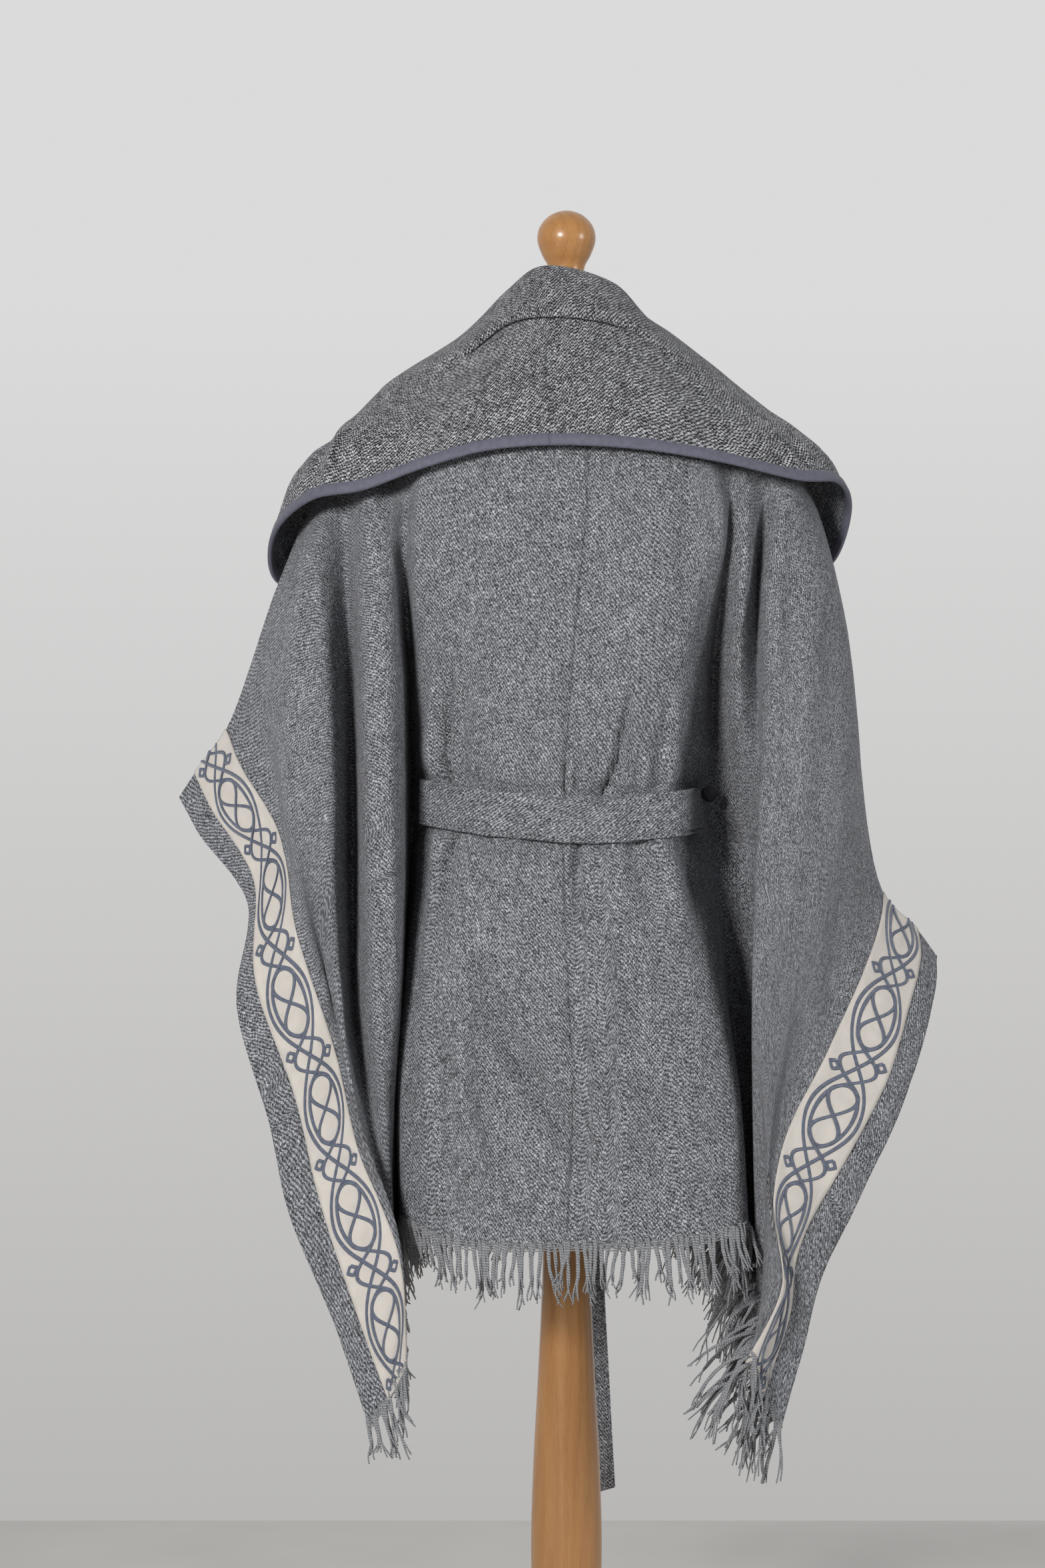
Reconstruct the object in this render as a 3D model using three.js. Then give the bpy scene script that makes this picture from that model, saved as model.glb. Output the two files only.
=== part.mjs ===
// Hooded cape on a dress form. Millimetres, +Z up, the wearer faces +Y.
// The origin is the centre of the base's underside, where the form stands.
import * as THREE from 'three';

// ---- driving dimensions -------------------------------------------------
const CLOTH = 2.0;          // thickness of the wool
const SEAM = 0.3;           // gap between two pieces that are sewn together
const BAND_THICK = 1.0;     // woven ribbon beside the selvedge
const BELT_WIDTH = 43;
const BELT_THICK = 3.0;     // two layers of cloth and their turnings
const BINDING_REACH = 10;   // how far the binding covers the hood
const BINDING_THICK = 0.9;
const BINDING_SLACK = 0.8;  // the room between the binding and the curving hood
const BUTTON_DIAMETER = 18;
const BUTTON_THICK = 5;
const FRINGE_GAP = 0.8;      // between the hem and the fringe's strip
const FRINGE_STRIP = 3;     // height of the strip that the fringe's knots make
const STRAND = { width: 3, flare: 0.8, shortest: 42, longest: 60 };
const BASE = { diameter: 380, height: 26, rim: 8 };

// ---- the cape's folds -----------------------------------------------------
// Each length of cloth hangs from its over-arm line, which runs from the neck
// to the corner of the wing. A row is one ridge or valley, from the centre
// back out to the selvedge: its point on the over-arm line, the height of its
// hem, and its x and y at each level. A level is a share of the drop.
const LEVELS = [0, 0.06, 0.175, 0.335, 0.53, 0.675, 0.83, 1];
const BACK_LEFT = [
  { fold: 'centre', top: [15, -66, 1418], hem: 576,
    x: [17, 18, 6, -4, -2, 4, -2], y: [-92, -122, -122, -106, -134, -146, -150] },
  { fold: 'middle', top: [-45, -52, 1414], hem: 575,
    x: [-49, -54, -60, -62, -66, -68, -66], y: [-86, -124, -120, -103, -133, -133, -144] },
  { fold: 'pleat', top: [-80, -4, 1400], hem: 580,
    x: [-92, -114, -111, -113, -122, -117, -109], y: [-56, -112, -104, -78, -118, -138, -144] },
  { fold: 'flank', top: [-112, 0, 1384], hem: 592,
    x: [-120, -144, -139, -137, -150, -154, -149], y: [-44, -96, -64, -36, -78, -92, -102] },
  { fold: 'valley', top: [-140, 2, 1373], hem: 560,
    x: [-145, -157, -156, -152, -160, -164, -160], y: [-34, -62, -10, 6, 0, -10, -16] },
  { fold: 'column edge', top: [-160, 3, 1364], hem: 548,
    x: [-162, -168, -163, -161, -160, -164, -168], y: [-48, -88, -100, -106, -110, -84, -60] },
  { fold: 'column crest', top: [-184, 4, 1350], hem: 538,
    x: [-185, -186, -185, -184, -174, -158, -155], y: [-58, -104, -120, -126, -130, -106, -86] },
  { fold: 'sleeve valley', top: [-210, 4, 1325], hem: 526,
    x: [-209, -209, -211, -213, -190, -167, -161], y: [-36, -66, -76, -84, -114, -117, -104] },
  { fold: 'sleeve crest', top: [-240, 4, 1276], hem: 513,
    x: [-240, -240, -238, -224, -198, -160, -151], y: [-52, -100, -106, -96, -122, -129, -122] },
  { fold: 'sleeve edge', top: [-277, 2, 1190], hem: 498,
    x: [-276, -272, -250, -224, -202, -170, -159], y: [-42, -80, -106, -102, -114, -138, -138] },
  { fold: 'band inner', top: [-326, 0, 1052], hem: 474,
    x: [-309, -268, -249, -213, -192, -155, -149], y: [-30, -72, -112, -110, -126, -154, -158] },
  { fold: 'band outer', top: [-356, -1, 1010], hem: 440,
    x: [-337, -293, -290, -252, -231, -200, -164], y: [-28, -78, -96, -104, -124, -150, -164] },
  { fold: 'selvedge', top: [-371, -2, 987], hem: 416,
    x: [-350, -299, -308, -277, -256, -216, -181], y: [-26, -74, -92, -102, -124, -148, -166] },
];
const BACK_RIGHT = [
  BACK_LEFT[0],
  { fold: 'middle', top: [50, -52, 1414], hem: 577,
    x: [55, 68, 60, 54, 60, 62, 65], y: [-86, -124, -122, -103, -135, -146, -148] },
  { fold: 'blade', top: [84, -4, 1400], hem: 581,
    x: [96, 114, 98, 99, 104, 112, 121], y: [-56, -115, -112, -86, -118, -136, -140] },
  { fold: 'flank', top: [120, 1, 1380], hem: 588,
    x: [126, 138, 124, 135, 140, 150, 161], y: [-44, -98, -70, -36, -76, -90, -100] },
  { fold: 'valley', top: [150, 2, 1368], hem: 556,
    x: [152, 149, 141, 149, 157, 165, 170], y: [-40, -74, -26, 6, 4, -6, -10] },
  { fold: 'small crest', top: [170, 3, 1358], hem: 543,
    x: [170, 162, 159, 164, 167, 172, 179], y: [-52, -94, -86, -56, -40, -36, -38] },
  { fold: 'small valley', top: [188, 4, 1346], hem: 534,
    x: [188, 178, 175, 173, 173, 177, 184], y: [-44, -74, -66, -62, -68, -66, -62] },
  { fold: 'sleeve edge', top: [206, 4, 1328], hem: 524,
    x: [206, 187, 180, 171, 169, 172, 176], y: [-56, -96, -102, -108, -112, -98, -84] },
  { fold: 'sleeve crest', top: [236, 4, 1275], hem: 508,
    x: [236, 215, 206, 190, 178, 184, 185], y: [-56, -106, -118, -120, -124, -114, -104] },
  { fold: 'sleeve fall', top: [266, 2, 1165], hem: 488,
    x: [266, 256, 240, 207, 184, 182, 176], y: [-40, -84, -104, -114, -130, -130, -122] },
  { fold: 'band inner', top: [303, 0, 896], hem: 470,
    x: [298, 276, 242, 198, 186, 194, 163], y: [-26, -66, -92, -120, -142, -146, -138] },
  { fold: 'band outer', top: [336, -1, 860], hem: 436,
    x: [336, 320, 295, 246, 212, 203, 178], y: [-22, -58, -86, -114, -122, -112, -126] },
  { fold: 'selvedge', top: [355, -2, 834], hem: 403,
    x: [352, 336, 308, 264, 234, 218, 195], y: [-20, -52, -82, -108, -112, -102, -118] },
];
// The fronts hang from the same over-arm points, from the neck outwards.
const FRONT_LEFT = [
  { fold: 'opening', hem: 572,
    x: [-84, -66, -44, -14, -26, -36, -42], y: [52, 112, 124, 104, 124, 134, 138] },
  { fold: 'breast', hem: 574,
    x: [-114, -116, -110, -98, -114, -122, -126], y: [46, 108, 116, 86, 110, 122, 128] },
  { fold: 'valley', hem: 558,
    x: [-144, -152, -154, -151, -154, -156, -156], y: [38, 62, 34, 28, 30, 34, 36] },
  { fold: 'column edge', hem: 548,
    x: [-162, -168, -166, -164, -163, -163, -163], y: [44, 84, 90, 92, 96, 80, 66] },
  { fold: 'column crest', hem: 538,
    x: [-186, -188, -188, -188, -178, -164, -159], y: [50, 98, 112, 118, 122, 102, 86] },
  { fold: 'sleeve valley', hem: 526,
    x: [-210, -210, -212, -214, -194, -174, -166], y: [36, 68, 82, 90, 108, 112, 102] },
  { fold: 'sleeve crest', hem: 514,
    x: [-240, -240, -238, -222, -200, -169, -160], y: [46, 92, 104, 106, 120, 124, 116] },
  { fold: 'sleeve edge', hem: 500,
    x: [-276, -270, -250, -226, -208, -180, -168], y: [40, 76, 98, 98, 108, 132, 130] },
  { fold: 'band inner', hem: 478,
    x: [-310, -276, -252, -220, -202, -172, -164], y: [30, 62, 92, 110, 126, 147, 146] },
  { fold: 'band outer', hem: 448,
    x: [-338, -300, -282, -252, -230, -200, -180], y: [28, 60, 88, 100, 116, 142, 148] },
  { fold: 'selvedge', hem: 426,
    x: [-350, -308, -296, -272, -250, -218, -192], y: [26, 56, 84, 98, 114, 138, 146] },
];
const FRONT_RIGHT = [
  { fold: 'opening', hem: 570,
    x: [88, 68, 46, 14, 28, 38, 46], y: [52, 112, 124, 104, 124, 134, 138] },
  { fold: 'breast', hem: 572,
    x: [122, 116, 108, 98, 114, 124, 130], y: [46, 108, 116, 86, 110, 122, 128] },
  { fold: 'valley', hem: 556,
    x: [152, 150, 148, 149, 154, 160, 164], y: [38, 62, 36, 28, 32, 36, 36] },
  { fold: 'small crest', hem: 545,
    x: [170, 164, 162, 165, 167, 171, 175], y: [48, 86, 84, 66, 60, 58, 56] },
  { fold: 'small valley', hem: 536,
    x: [188, 180, 177, 175, 173, 176, 181], y: [42, 70, 76, 80, 84, 80, 74] },
  { fold: 'sleeve edge', hem: 526,
    x: [206, 190, 184, 178, 176, 180, 176], y: [50, 90, 100, 106, 110, 104, 92] },
  { fold: 'sleeve crest', hem: 512,
    x: [236, 218, 210, 198, 188, 190, 184], y: [50, 98, 112, 116, 120, 122, 108] },
  { fold: 'sleeve fall', hem: 492,
    x: [267, 256, 240, 214, 194, 195, 184], y: [38, 80, 100, 110, 126, 130, 124] },
  { fold: 'band inner', hem: 474,
    x: [299, 278, 246, 210, 203, 208, 186], y: [26, 62, 90, 118, 140, 146, 142] },
  { fold: 'band outer', hem: 440,
    x: [335, 320, 296, 258, 234, 224, 204], y: [22, 56, 84, 110, 122, 124, 130] },
  { fold: 'selvedge', hem: 412,
    x: [350, 334, 310, 274, 254, 238, 214], y: [20, 50, 80, 108, 124, 132, 138] },
];
const NECK_FOLD = 2;        // row of the back tables where the front begins

// ---- the hood, folded down ------------------------------------------------
// A row is one line from the neck seam out to the bound edge: the crown is the
// top of the stand, the lip is the soft fold under it, and the bulge is how
// far the fall rounds out between lip and edge.
const HOOD_LEFT = [
  { line: 'centre seam', seam: [-10, -66, 1419], crown: [-24, -62, 1486], lip: [-22, -98, 1438],
    edge: [-17, -140, 1312], bulge: 4 },
  { line: 'nape', seam: [-45, -52, 1415], crown: [-54, -46, 1467], lip: [-58, -90, 1432],
    edge: [-77, -137, 1307], bulge: 5 },
  { line: 'blade', seam: [-66, -28, 1408], crown: [-74, -26, 1448], lip: [-98, -78, 1404],
    edge: [-134, -126, 1292], bulge: 8 },
  { line: 'side fold', seam: [-80, -4, 1401], crown: [-86, -10, 1434], lip: [-138, -56, 1390],
    edge: [-190, -108, 1273], bulge: 12 },
  { line: 'shoulder', opening: 0.04, crown: [-92, 6, 1428], lip: [-168, -22, 1383],
    edge: [-240, -82, 1266], bulge: 16 },
  { line: 'tip', opening: 0.08, crown: [-94, 26, 1420], lip: [-178, 12, 1376],
    edge: [-282, -12, 1234], bulge: 18 },
  { line: 'arm', opening: 0.12, crown: [-92, 52, 1410], lip: [-170, 46, 1366],
    edge: [-280, 44, 1196], bulge: 18 },
  { line: 'chest', opening: 0.165, crown: [-86, 80, 1394], lip: [-136, 92, 1348],
    edge: [-212, 116, 1196], bulge: 12 },
  { line: 'front edge', opening: 0.21, crown: [-78, 100, 1340], lip: [-94, 116, 1312],
    edge: [-112, 138, 1240], bulge: 4 },
];
const HOOD_RIGHT = [
  HOOD_LEFT[0],
  { line: 'nape', seam: [50, -52, 1415], crown: [44, -48, 1472], lip: [54, -88, 1429],
    edge: [60, -138, 1309], bulge: 5 },
  { line: 'blade', seam: [70, -28, 1408], crown: [70, -26, 1446], lip: [100, -76, 1402],
    edge: [138, -128, 1298], bulge: 8 },
  { line: 'side seam', seam: [84, -4, 1401], crown: [90, -10, 1434], lip: [136, -52, 1388],
    edge: [216, -98, 1283], bulge: 10 },
  { line: 'shoulder', opening: 0.04, crown: [96, 6, 1428], lip: [166, -20, 1376],
    edge: [256, -58, 1284], bulge: 12 },
  { line: 'tip', opening: 0.08, crown: [98, 26, 1420], lip: [178, 12, 1370],
    edge: [272, -4, 1262], bulge: 14 },
  { line: 'arm', opening: 0.12, crown: [96, 52, 1410], lip: [170, 46, 1362],
    edge: [258, 44, 1214], bulge: 18 },
  { line: 'chest', opening: 0.165, crown: [90, 80, 1394], lip: [138, 92, 1346],
    edge: [206, 116, 1202], bulge: 12 },
  { line: 'front edge', opening: 0.21, crown: [82, 100, 1340], lip: [97, 116, 1312],
    edge: [112, 138, 1242], bulge: 4 },
];
const NECK_AXIS = new THREE.Vector3(0, 30, 0);

// ---- the dress form -------------------------------------------------------
// A row is one level of the torso: half its width, and how far it reaches
// behind and before the pole's axis.
const TORSO = [
  { z: 690, half: 96, back: 82, front: 82 },
  { z: 700, half: 118, back: 98, front: 96 },
  { z: 760, half: 134, back: 112, front: 104 },
  { z: 850, half: 134, back: 112, front: 100 },
  { z: 960, half: 120, back: 92, front: 86 },
  { z: 1060, half: 122, back: 102, front: 98 },
  { z: 1180, half: 130, back: 108, front: 104 },
  { z: 1270, half: 130, back: 102, front: 88 },
  { z: 1330, half: 134, back: 72, front: 60 },
  { z: 1352, half: 126, back: 52, front: 44 },
  { z: 1372, half: 111, back: 44, front: 34 },
  { z: 1390, half: 78, back: 43, front: 36 },
  { z: 1410, half: 54, back: 42, front: 38 },
  { z: 1448, half: 47, back: 42, front: 38 },
];
const NECK_CAP = { radius: 46, bottom: 1448.3, height: 12 };
const KNOB = [
  { z: 1460.6, r: 17 }, { z: 1496, r: 17.5 }, { z: 1508, r: 23.5 }, { z: 1522, r: 28 },
  { z: 1534, r: 26 }, { z: 1544, r: 18 }, { z: 1549, r: 8 },
];
const POLE = [
  { z: 26.3, r: 30 }, { z: 60, r: 26 }, { z: 130, r: 27 }, { z: 215, r: 32.5 },
  { z: 270, r: 34 }, { z: 345, r: 32 }, { z: 430, r: 27.5 }, { z: 517, r: 23.5 },
  { z: 600, r: 21.5 }, { z: 689.7, r: 21 },
];

// ---- colours and finishes ---------------------------------------------------
const wool = finish('#797a7f', 0.95);
const woolDark = finish('#626368', 0.95);
const ribbon = finish('#d6d1cd', 0.85);
const tape = finish('#626274', 0.8);
const buttonCloth = finish('#33343a', 0.8);
const varnished = finish('#bb8d5d', 0.3);
const jersey = finish('#cfc6b8', 0.9);

function finish(color, roughness) {
  return new THREE.MeshStandardMaterial({ color, roughness, metalness: 0 });
}

// ---- surfaces ---------------------------------------------------------------
const vec = (p) => new THREE.Vector3(...p);
const smooth = (points) => new THREE.CatmullRomCurve3(points, false, 'centripetal');

// Samples of 0..1 with `each` steps between every two of `count` lines.
const steps = (count, each) =>
  Array.from({ length: (count - 1) * each + 1 }, (_, i) => i / ((count - 1) * each));

// The line of one fold, from its over-arm point down to its hem.
function foldLine(row, top) {
  const points = LEVELS.map((level, i) => (i === 0 ? vec(top) : new THREE.Vector3(
    row.x[i - 1], row.y[i - 1], top[2] + (row.hem - top[2]) * level)));
  return smooth(points);
}

// A grid of points: one row for each drop, from fold to fold across.
function loft(lines, acrossSamples, downSamples) {
  return downSamples.map((v) => {
    const across = smooth(lines.map((line) => line.getPoint(v)));
    return acrossSamples.map((u) => across.getPoint(u));
  });
}

// Unit normals of a grid, by the differences of its neighbours.
function gridNormals(grid, side) {
  const rows = grid.length;
  const cols = grid[0].length;
  return grid.map((row, i) => row.map((_, j) => {
    const down = grid[Math.min(i + 1, rows - 1)][j].clone().sub(grid[Math.max(i - 1, 0)][j]);
    const across = row[Math.min(j + 1, cols - 1)].clone().sub(row[Math.max(j - 1, 0)]);
    return across.cross(down).normalize().multiplyScalar(side);
  }));
}

// A closed wall between the grid moved out by `outer` and by `inner`.
function wall(grid, normals, outer, inner) {
  const rows = grid.length;
  const cols = grid[0].length;
  const positions = [];
  for (const offset of [outer, inner]) {
    grid.forEach((row, i) => row.forEach((p, j) => {
      const q = p.clone().addScaledVector(normals[i][j], offset);
      positions.push(q.x, q.y, q.z);
    }));
  }
  const at = (face, i, j) => face * rows * cols + i * cols + j;
  const index = [];
  const quad = (a, b, c, d) => index.push(a, b, c, a, c, d);
  for (let i = 0; i < rows - 1; i += 1) {
    for (let j = 0; j < cols - 1; j += 1) {
      quad(at(0, i, j), at(0, i + 1, j), at(0, i + 1, j + 1), at(0, i, j + 1));
      quad(at(1, i, j), at(1, i, j + 1), at(1, i + 1, j + 1), at(1, i + 1, j));
    }
    quad(at(0, i, 0), at(1, i, 0), at(1, i + 1, 0), at(0, i + 1, 0));
    quad(at(0, i, cols - 1), at(0, i + 1, cols - 1), at(1, i + 1, cols - 1), at(1, i, cols - 1));
  }
  for (let j = 0; j < cols - 1; j += 1) {
    quad(at(0, 0, j), at(0, 0, j + 1), at(1, 0, j + 1), at(1, 0, j));
    quad(at(0, rows - 1, j), at(1, rows - 1, j), at(1, rows - 1, j + 1), at(0, rows - 1, j + 1));
  }
  return facingOut(positions, index);
}

// A geometry whose faces point out, whichever way the grid was wound.
function facingOut(positions, index) {
  const geometry = new THREE.BufferGeometry();
  geometry.setAttribute('position', new THREE.Float32BufferAttribute(positions, 3));
  let volume = 0;
  const corner = (k) => new THREE.Vector3().fromArray(positions, index[k] * 3);
  for (let k = 0; k < index.length; k += 3) {
    volume += corner(k).dot(corner(k + 1).cross(corner(k + 2)));
  }
  geometry.setIndex(volume > 0 ? index : index.slice().reverse());
  geometry.computeVertexNormals();
  return geometry;
}

// A closed solid through rings of equal length, with flat ends. The ends are
// fans, or the quads given for a section that isn't convex.
function ringSolid(rings, endQuads) {
  const sides = rings[0].length;
  const positions = rings.flat().flatMap((p) => [p.x, p.y, p.z]);
  const index = [];
  for (let i = 0; i < rings.length - 1; i += 1) {
    for (let j = 0; j < sides; j += 1) {
      const k = (j + 1) % sides;
      const [a, b] = [i * sides + j, i * sides + k];
      index.push(a, b, b + sides, a, b + sides, a + sides);
    }
  }
  const last = (rings.length - 1) * sides;
  const fan = Array.from({ length: sides - 2 }, (_, j) => [0, j + 1, j + 2]);
  const quads = (endQuads ?? []).flatMap(([a, b, c, d]) => [[a, b, c], [a, c, d]]);
  for (const [a, b, c] of endQuads ? quads : fan) {
    index.push(a, c, b, last + a, last + b, last + c);
  }
  return facingOut(positions, index);
}

// ---- the scene graph ----------------------------------------------------------
const cape = new THREE.Group();
cape.name = 'hooded_cape_on_dress_form';

function add(name, geometry, material) {
  const mesh = new THREE.Mesh(geometry, material);
  mesh.name = name;
  cape.add(mesh);
  return mesh;
}

// ---- the two lengths of cloth -----------------------------------------------
const ROWS_DOWN = { back: 19, front: 13 };
const ACROSS = 2;           // steps between two folds

function backGrid() {
  const right = BACK_RIGHT.slice(1);
  const rows = [...BACK_LEFT.slice().reverse(), ...right];
  const lines = rows.map((row) => foldLine(row, row.top));
  return loft(lines, steps(rows.length, ACROSS), steps(2, ROWS_DOWN.back));
}

function frontGrid(front, back) {
  const lines = front.map((row, i) => foldLine(row, back[i + NECK_FOLD].top));
  return loft(lines, steps(lines.length, ACROSS), steps(2, ROWS_DOWN.front));
}

// Moves a grid's edge back along the cloth, so that it ends short of a seam.
function shortenColumn(grid, column, inner, gap) {
  grid.forEach((row) => {
    const way = row[inner].clone().sub(row[column]).normalize();
    row[column].addScaledVector(way, gap);
  });
}

function shortenRow(grid, line, inner, gap) {
  grid[line].forEach((p, j) => {
    p.addScaledVector(grid[inner][j].clone().sub(p).normalize(), gap);
  });
}

const slice = (grid, from, to) => grid.map((row) => row.slice(from, to + 1).map((p) => p.clone()));

// Gives two grids that meet along their first rows the same points there.
function shareTop(grid, other, columnOf) {
  grid[0].forEach((p, j) => p.copy(other[0][columnOf(j)]));
}

// And the same normals, so that their end faces are parallel.
function shareTopNormals(normals, others, columnOf) {
  normals[0].forEach((normal, j) => {
    const other = others[0][columnOf(j)];
    const common = normal.clone().add(other).normalize();
    normal.copy(common);
    other.copy(common);
  });
}

function clothPanels() {
  const back = backGrid();
  const backNormals = gridNormals(back, -1);
  const middle = (BACK_LEFT.length - 1) * ACROSS;
  const last = back[0].length - 1;
  const parts = {};
  for (const [name, rows, tops, side, columnOf] of [
    ['front_left', FRONT_LEFT, BACK_LEFT, -1, (j) => middle - NECK_FOLD * ACROSS - j],
    ['front_right', FRONT_RIGHT, BACK_RIGHT, 1, (j) => middle + NECK_FOLD * ACROSS + j],
  ]) {
    const grid = frontGrid(rows, tops);
    shareTop(grid, back, columnOf);
    const normals = gridNormals(grid, side);
    shareTopNormals(normals, backNormals, columnOf);
    shortenRow(grid, 0, 1, SEAM * 2);
    parts[name] = { grid, normals };
  }
  const cut = (name, from, to, seamColumn, inner) => {
    const grid = slice(back, from, to);
    const normals = slice(backNormals, from, to);
    shortenColumn(grid, seamColumn, inner, SEAM / 2);
    shortenRow(grid, 0, 1, SEAM * 2);
    parts[name] = { grid, normals };
  };
  cut('back_left', 0, middle, middle, middle - 1);
  cut('back_right', middle, last, 0, 1);
  // Every panel's columns run from the body out to the selvedge.
  for (const rows of [parts.back_left.grid, parts.back_left.normals]) {
    rows.forEach((row) => row.reverse());
  }
  return parts;
}

const panels = clothPanels();
for (const [name, panel] of Object.entries(panels)) {
  add(`cape_${name}`, wall(panel.grid, panel.normals, CLOTH / 2, -CLOTH / 2), wool);
}

// ---- the bands beside the selvedges -------------------------------------------
for (const [name, panel] of Object.entries(panels)) {
  const outer = panel.grid[0].length - 1 - ACROSS;
  const grid = slice(panel.grid, outer - ACROSS, outer);
  const normals = slice(panel.normals, outer - ACROSS, outer);
  const lift = CLOTH / 2 + SEAM;
  add(`band_${name}`, wall(grid, normals, lift + BAND_THICK, lift), ribbon);
}

// ---- the hood ---------------------------------------------------------------
const ROLL_OUT = 6;         // how far the roll rounds out between crown and lip
const TUCK = { inward: 6, down: 9, shoulder: 0.2 };  // it fades on the shoulders
const HOOD_EACH = 2;        // steps between two lines, and between two levels

function hoodLine(row, opening) {
  const crown = vec(row.crown);
  const lip = vec(row.lip);
  const edge = vec(row.edge);
  const outward = lip.clone().add(edge).multiplyScalar(0.5).sub(NECK_AXIS).setZ(0).normalize();
  const seam = row.seam ? vec(row.seam) : opening.getPoint(row.opening);
  if (!row.seam) seam.x -= Math.sign(seam.x) * (CLOTH / 2 + SEAM * 2);
  seam.z += SEAM * 3;
  const depth = row.seam ? 1 : TUCK.shoulder;
  const tuck = lip.clone().addScaledVector(outward, -TUCK.inward * depth);
  tuck.z -= TUCK.down * depth;
  return smooth([
    seam,
    seam.clone().lerp(crown, 0.55),
    crown,
    crown.clone().lerp(lip, 0.5).addScaledVector(outward, ROLL_OUT),
    lip,
    tuck,
    tuck.clone().lerp(edge, 0.5).addScaledVector(outward, row.bulge),
    edge,
  ]);
}

function hoodHalves() {
  const openingLeft = foldLine(FRONT_LEFT[0], BACK_LEFT[NECK_FOLD].top);
  const openingRight = foldLine(FRONT_RIGHT[0], BACK_RIGHT[NECK_FOLD].top);
  const lines = [
    ...HOOD_LEFT.slice().reverse().map((row) => hoodLine(row, openingLeft)),
    ...HOOD_RIGHT.slice(1).map((row) => hoodLine(row, openingRight)),
  ];
  const grid = loft(lines, steps(lines.length, HOOD_EACH), steps(8, HOOD_EACH));
  const normals = gridNormals(grid, 1);
  const middle = (HOOD_LEFT.length - 1) * HOOD_EACH;
  const last = grid[0].length - 1;
  const halves = {};
  for (const [name, from, to, seam, inner] of [
    ['left', 0, middle, middle, middle - 1],
    ['right', middle, last, 0, 1],
  ]) {
    const half = { grid: slice(grid, from, to), normals: slice(normals, from, to) };
    shortenColumn(half.grid, seam, inner, SEAM / 2);
    halves[name] = half;
  }
  return halves;
}

// The binding folds over the hood's edge: a U-shaped section along the edge.
function binding(half) {
  const last = half.grid.length - 1;
  const near = CLOTH / 2 + BINDING_SLACK;
  const far = near + BINDING_THICK;
  const rings = half.grid[last].map((edge, j) => {
    const back = half.grid[last - 1][j].clone().sub(edge).normalize();
    const normal = half.normals[last][j];
    const at = (along, out) => edge.clone().addScaledVector(back, along).addScaledVector(normal, out);
    const [shut, end] = [-SEAM, -SEAM - BINDING_THICK];
    return [
      at(BINDING_REACH, far), at(end, far), at(end, -far), at(BINDING_REACH, -far),
      at(BINDING_REACH, -near), at(shut, -near), at(shut, near), at(BINDING_REACH, near),
    ];
  });
  return ringSolid(rings, [[0, 1, 6, 7], [1, 2, 5, 6], [2, 3, 4, 5]]);
}

const hood = hoodHalves();
for (const [name, half] of Object.entries(hood)) {
  add(`hood_${name}`, wall(half.grid, half.normals, CLOTH / 2, -CLOTH / 2), wool);
  add(`hood_binding_${name}`, binding(half), tape);
}

// ---- the belt ---------------------------------------------------------------
const BELT_MIDDLE = 969;    // height of its centre line at the centre back
const BELT_RISE = { left: 11, right: 5 };
const BELT_ENDS = { back: 6, front: 3 };  // in columns out from the centre
const BELT_SLACK = { back: 0.5, front: 1.6 };

// The point and the normal at one height on one column of a panel.
function columnAt(panel, column, height) {
  const { grid, normals } = panel;
  const i = grid.findIndex((row) => row[column].z < height);
  const [above, below] = [grid[i - 1][column], grid[i][column]];
  const t = (above.z - height) / (above.z - below.z);
  return {
    point: above.clone().lerp(below, t),
    normal: normals[i - 1][column].clone().lerp(normals[i][column], t).setZ(0).normalize(),
  };
}

// A stretch of belt: flat up and down, and clear of the cloth behind it.
function beltRing(panel, column, centre, slack) {
  const { point, normal } = columnAt(panel, column, centre);
  const half = BELT_WIDTH / 2;
  const proud = [-1, -0.5, 0, 0.5, 1].map((k) => (
    columnAt(panel, column, centre + k * half).point.sub(point).dot(normal)));
  const inner = Math.max(...proud) + CLOTH / 2 + slack;
  const at = (out, up) => point.clone().addScaledVector(normal, out).setZ(centre + up);
  return [
    at(inner, -half), at(inner, half), at(inner + BELT_THICK, half), at(inner + BELT_THICK, -half),
  ];
}

function beltBack() {
  const count = BELT_ENDS.back;
  const rings = [];
  for (let j = -count; j <= count; j += 1) {
    const panel = j < 0 ? panels.back_left : panels.back_right;
    const rise = (j < 0 ? BELT_RISE.left : BELT_RISE.right) * (j / count) ** 2;
    rings.push(beltRing(panel, Math.abs(j), BELT_MIDDLE + rise, BELT_SLACK.back));
  }
  return rings;
}

function beltFront(panel, rise) {
  const count = BELT_ENDS.front;
  const rings = [];
  for (let j = 0; j <= count; j += 1) {
    rings.push(beltRing(panel, j, BELT_MIDDLE + rise * (j / count) ** 2, BELT_SLACK.front));
  }
  return rings;
}

const backRings = beltBack();
add('belt_back', ringSolid(backRings), wool);
add('belt_front_left', ringSolid(beltFront(panels.front_left, BELT_RISE.left)), wool);
add('belt_front_right', ringSolid(beltFront(panels.front_right, BELT_RISE.right)), wool);

// The knot: a rounded block, with the belt's two tails hanging from it.
const KNOT = { x: 0, y: 123, half: { x: 25, y: 12, z: 25 } };
const TAIL_LONG = [
  [14, 123, 943], [19, 131, 905], [21, 143, 840], [20, 152, 740],
  [18, 156, 620], [19, 157, 500], [24, 157, 400], [30, 156, 284],
];
const TAIL_SHORT = [
  [-14, 123, 943], [-26, 131, 905], [-30, 143, 840], [-34, 151, 760], [-36, 154, 680], [-38, 155, 604],
];
const TAIL_NECK = { share: 0.62, length: 0.12 };  // how far the knot narrows a tail

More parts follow.
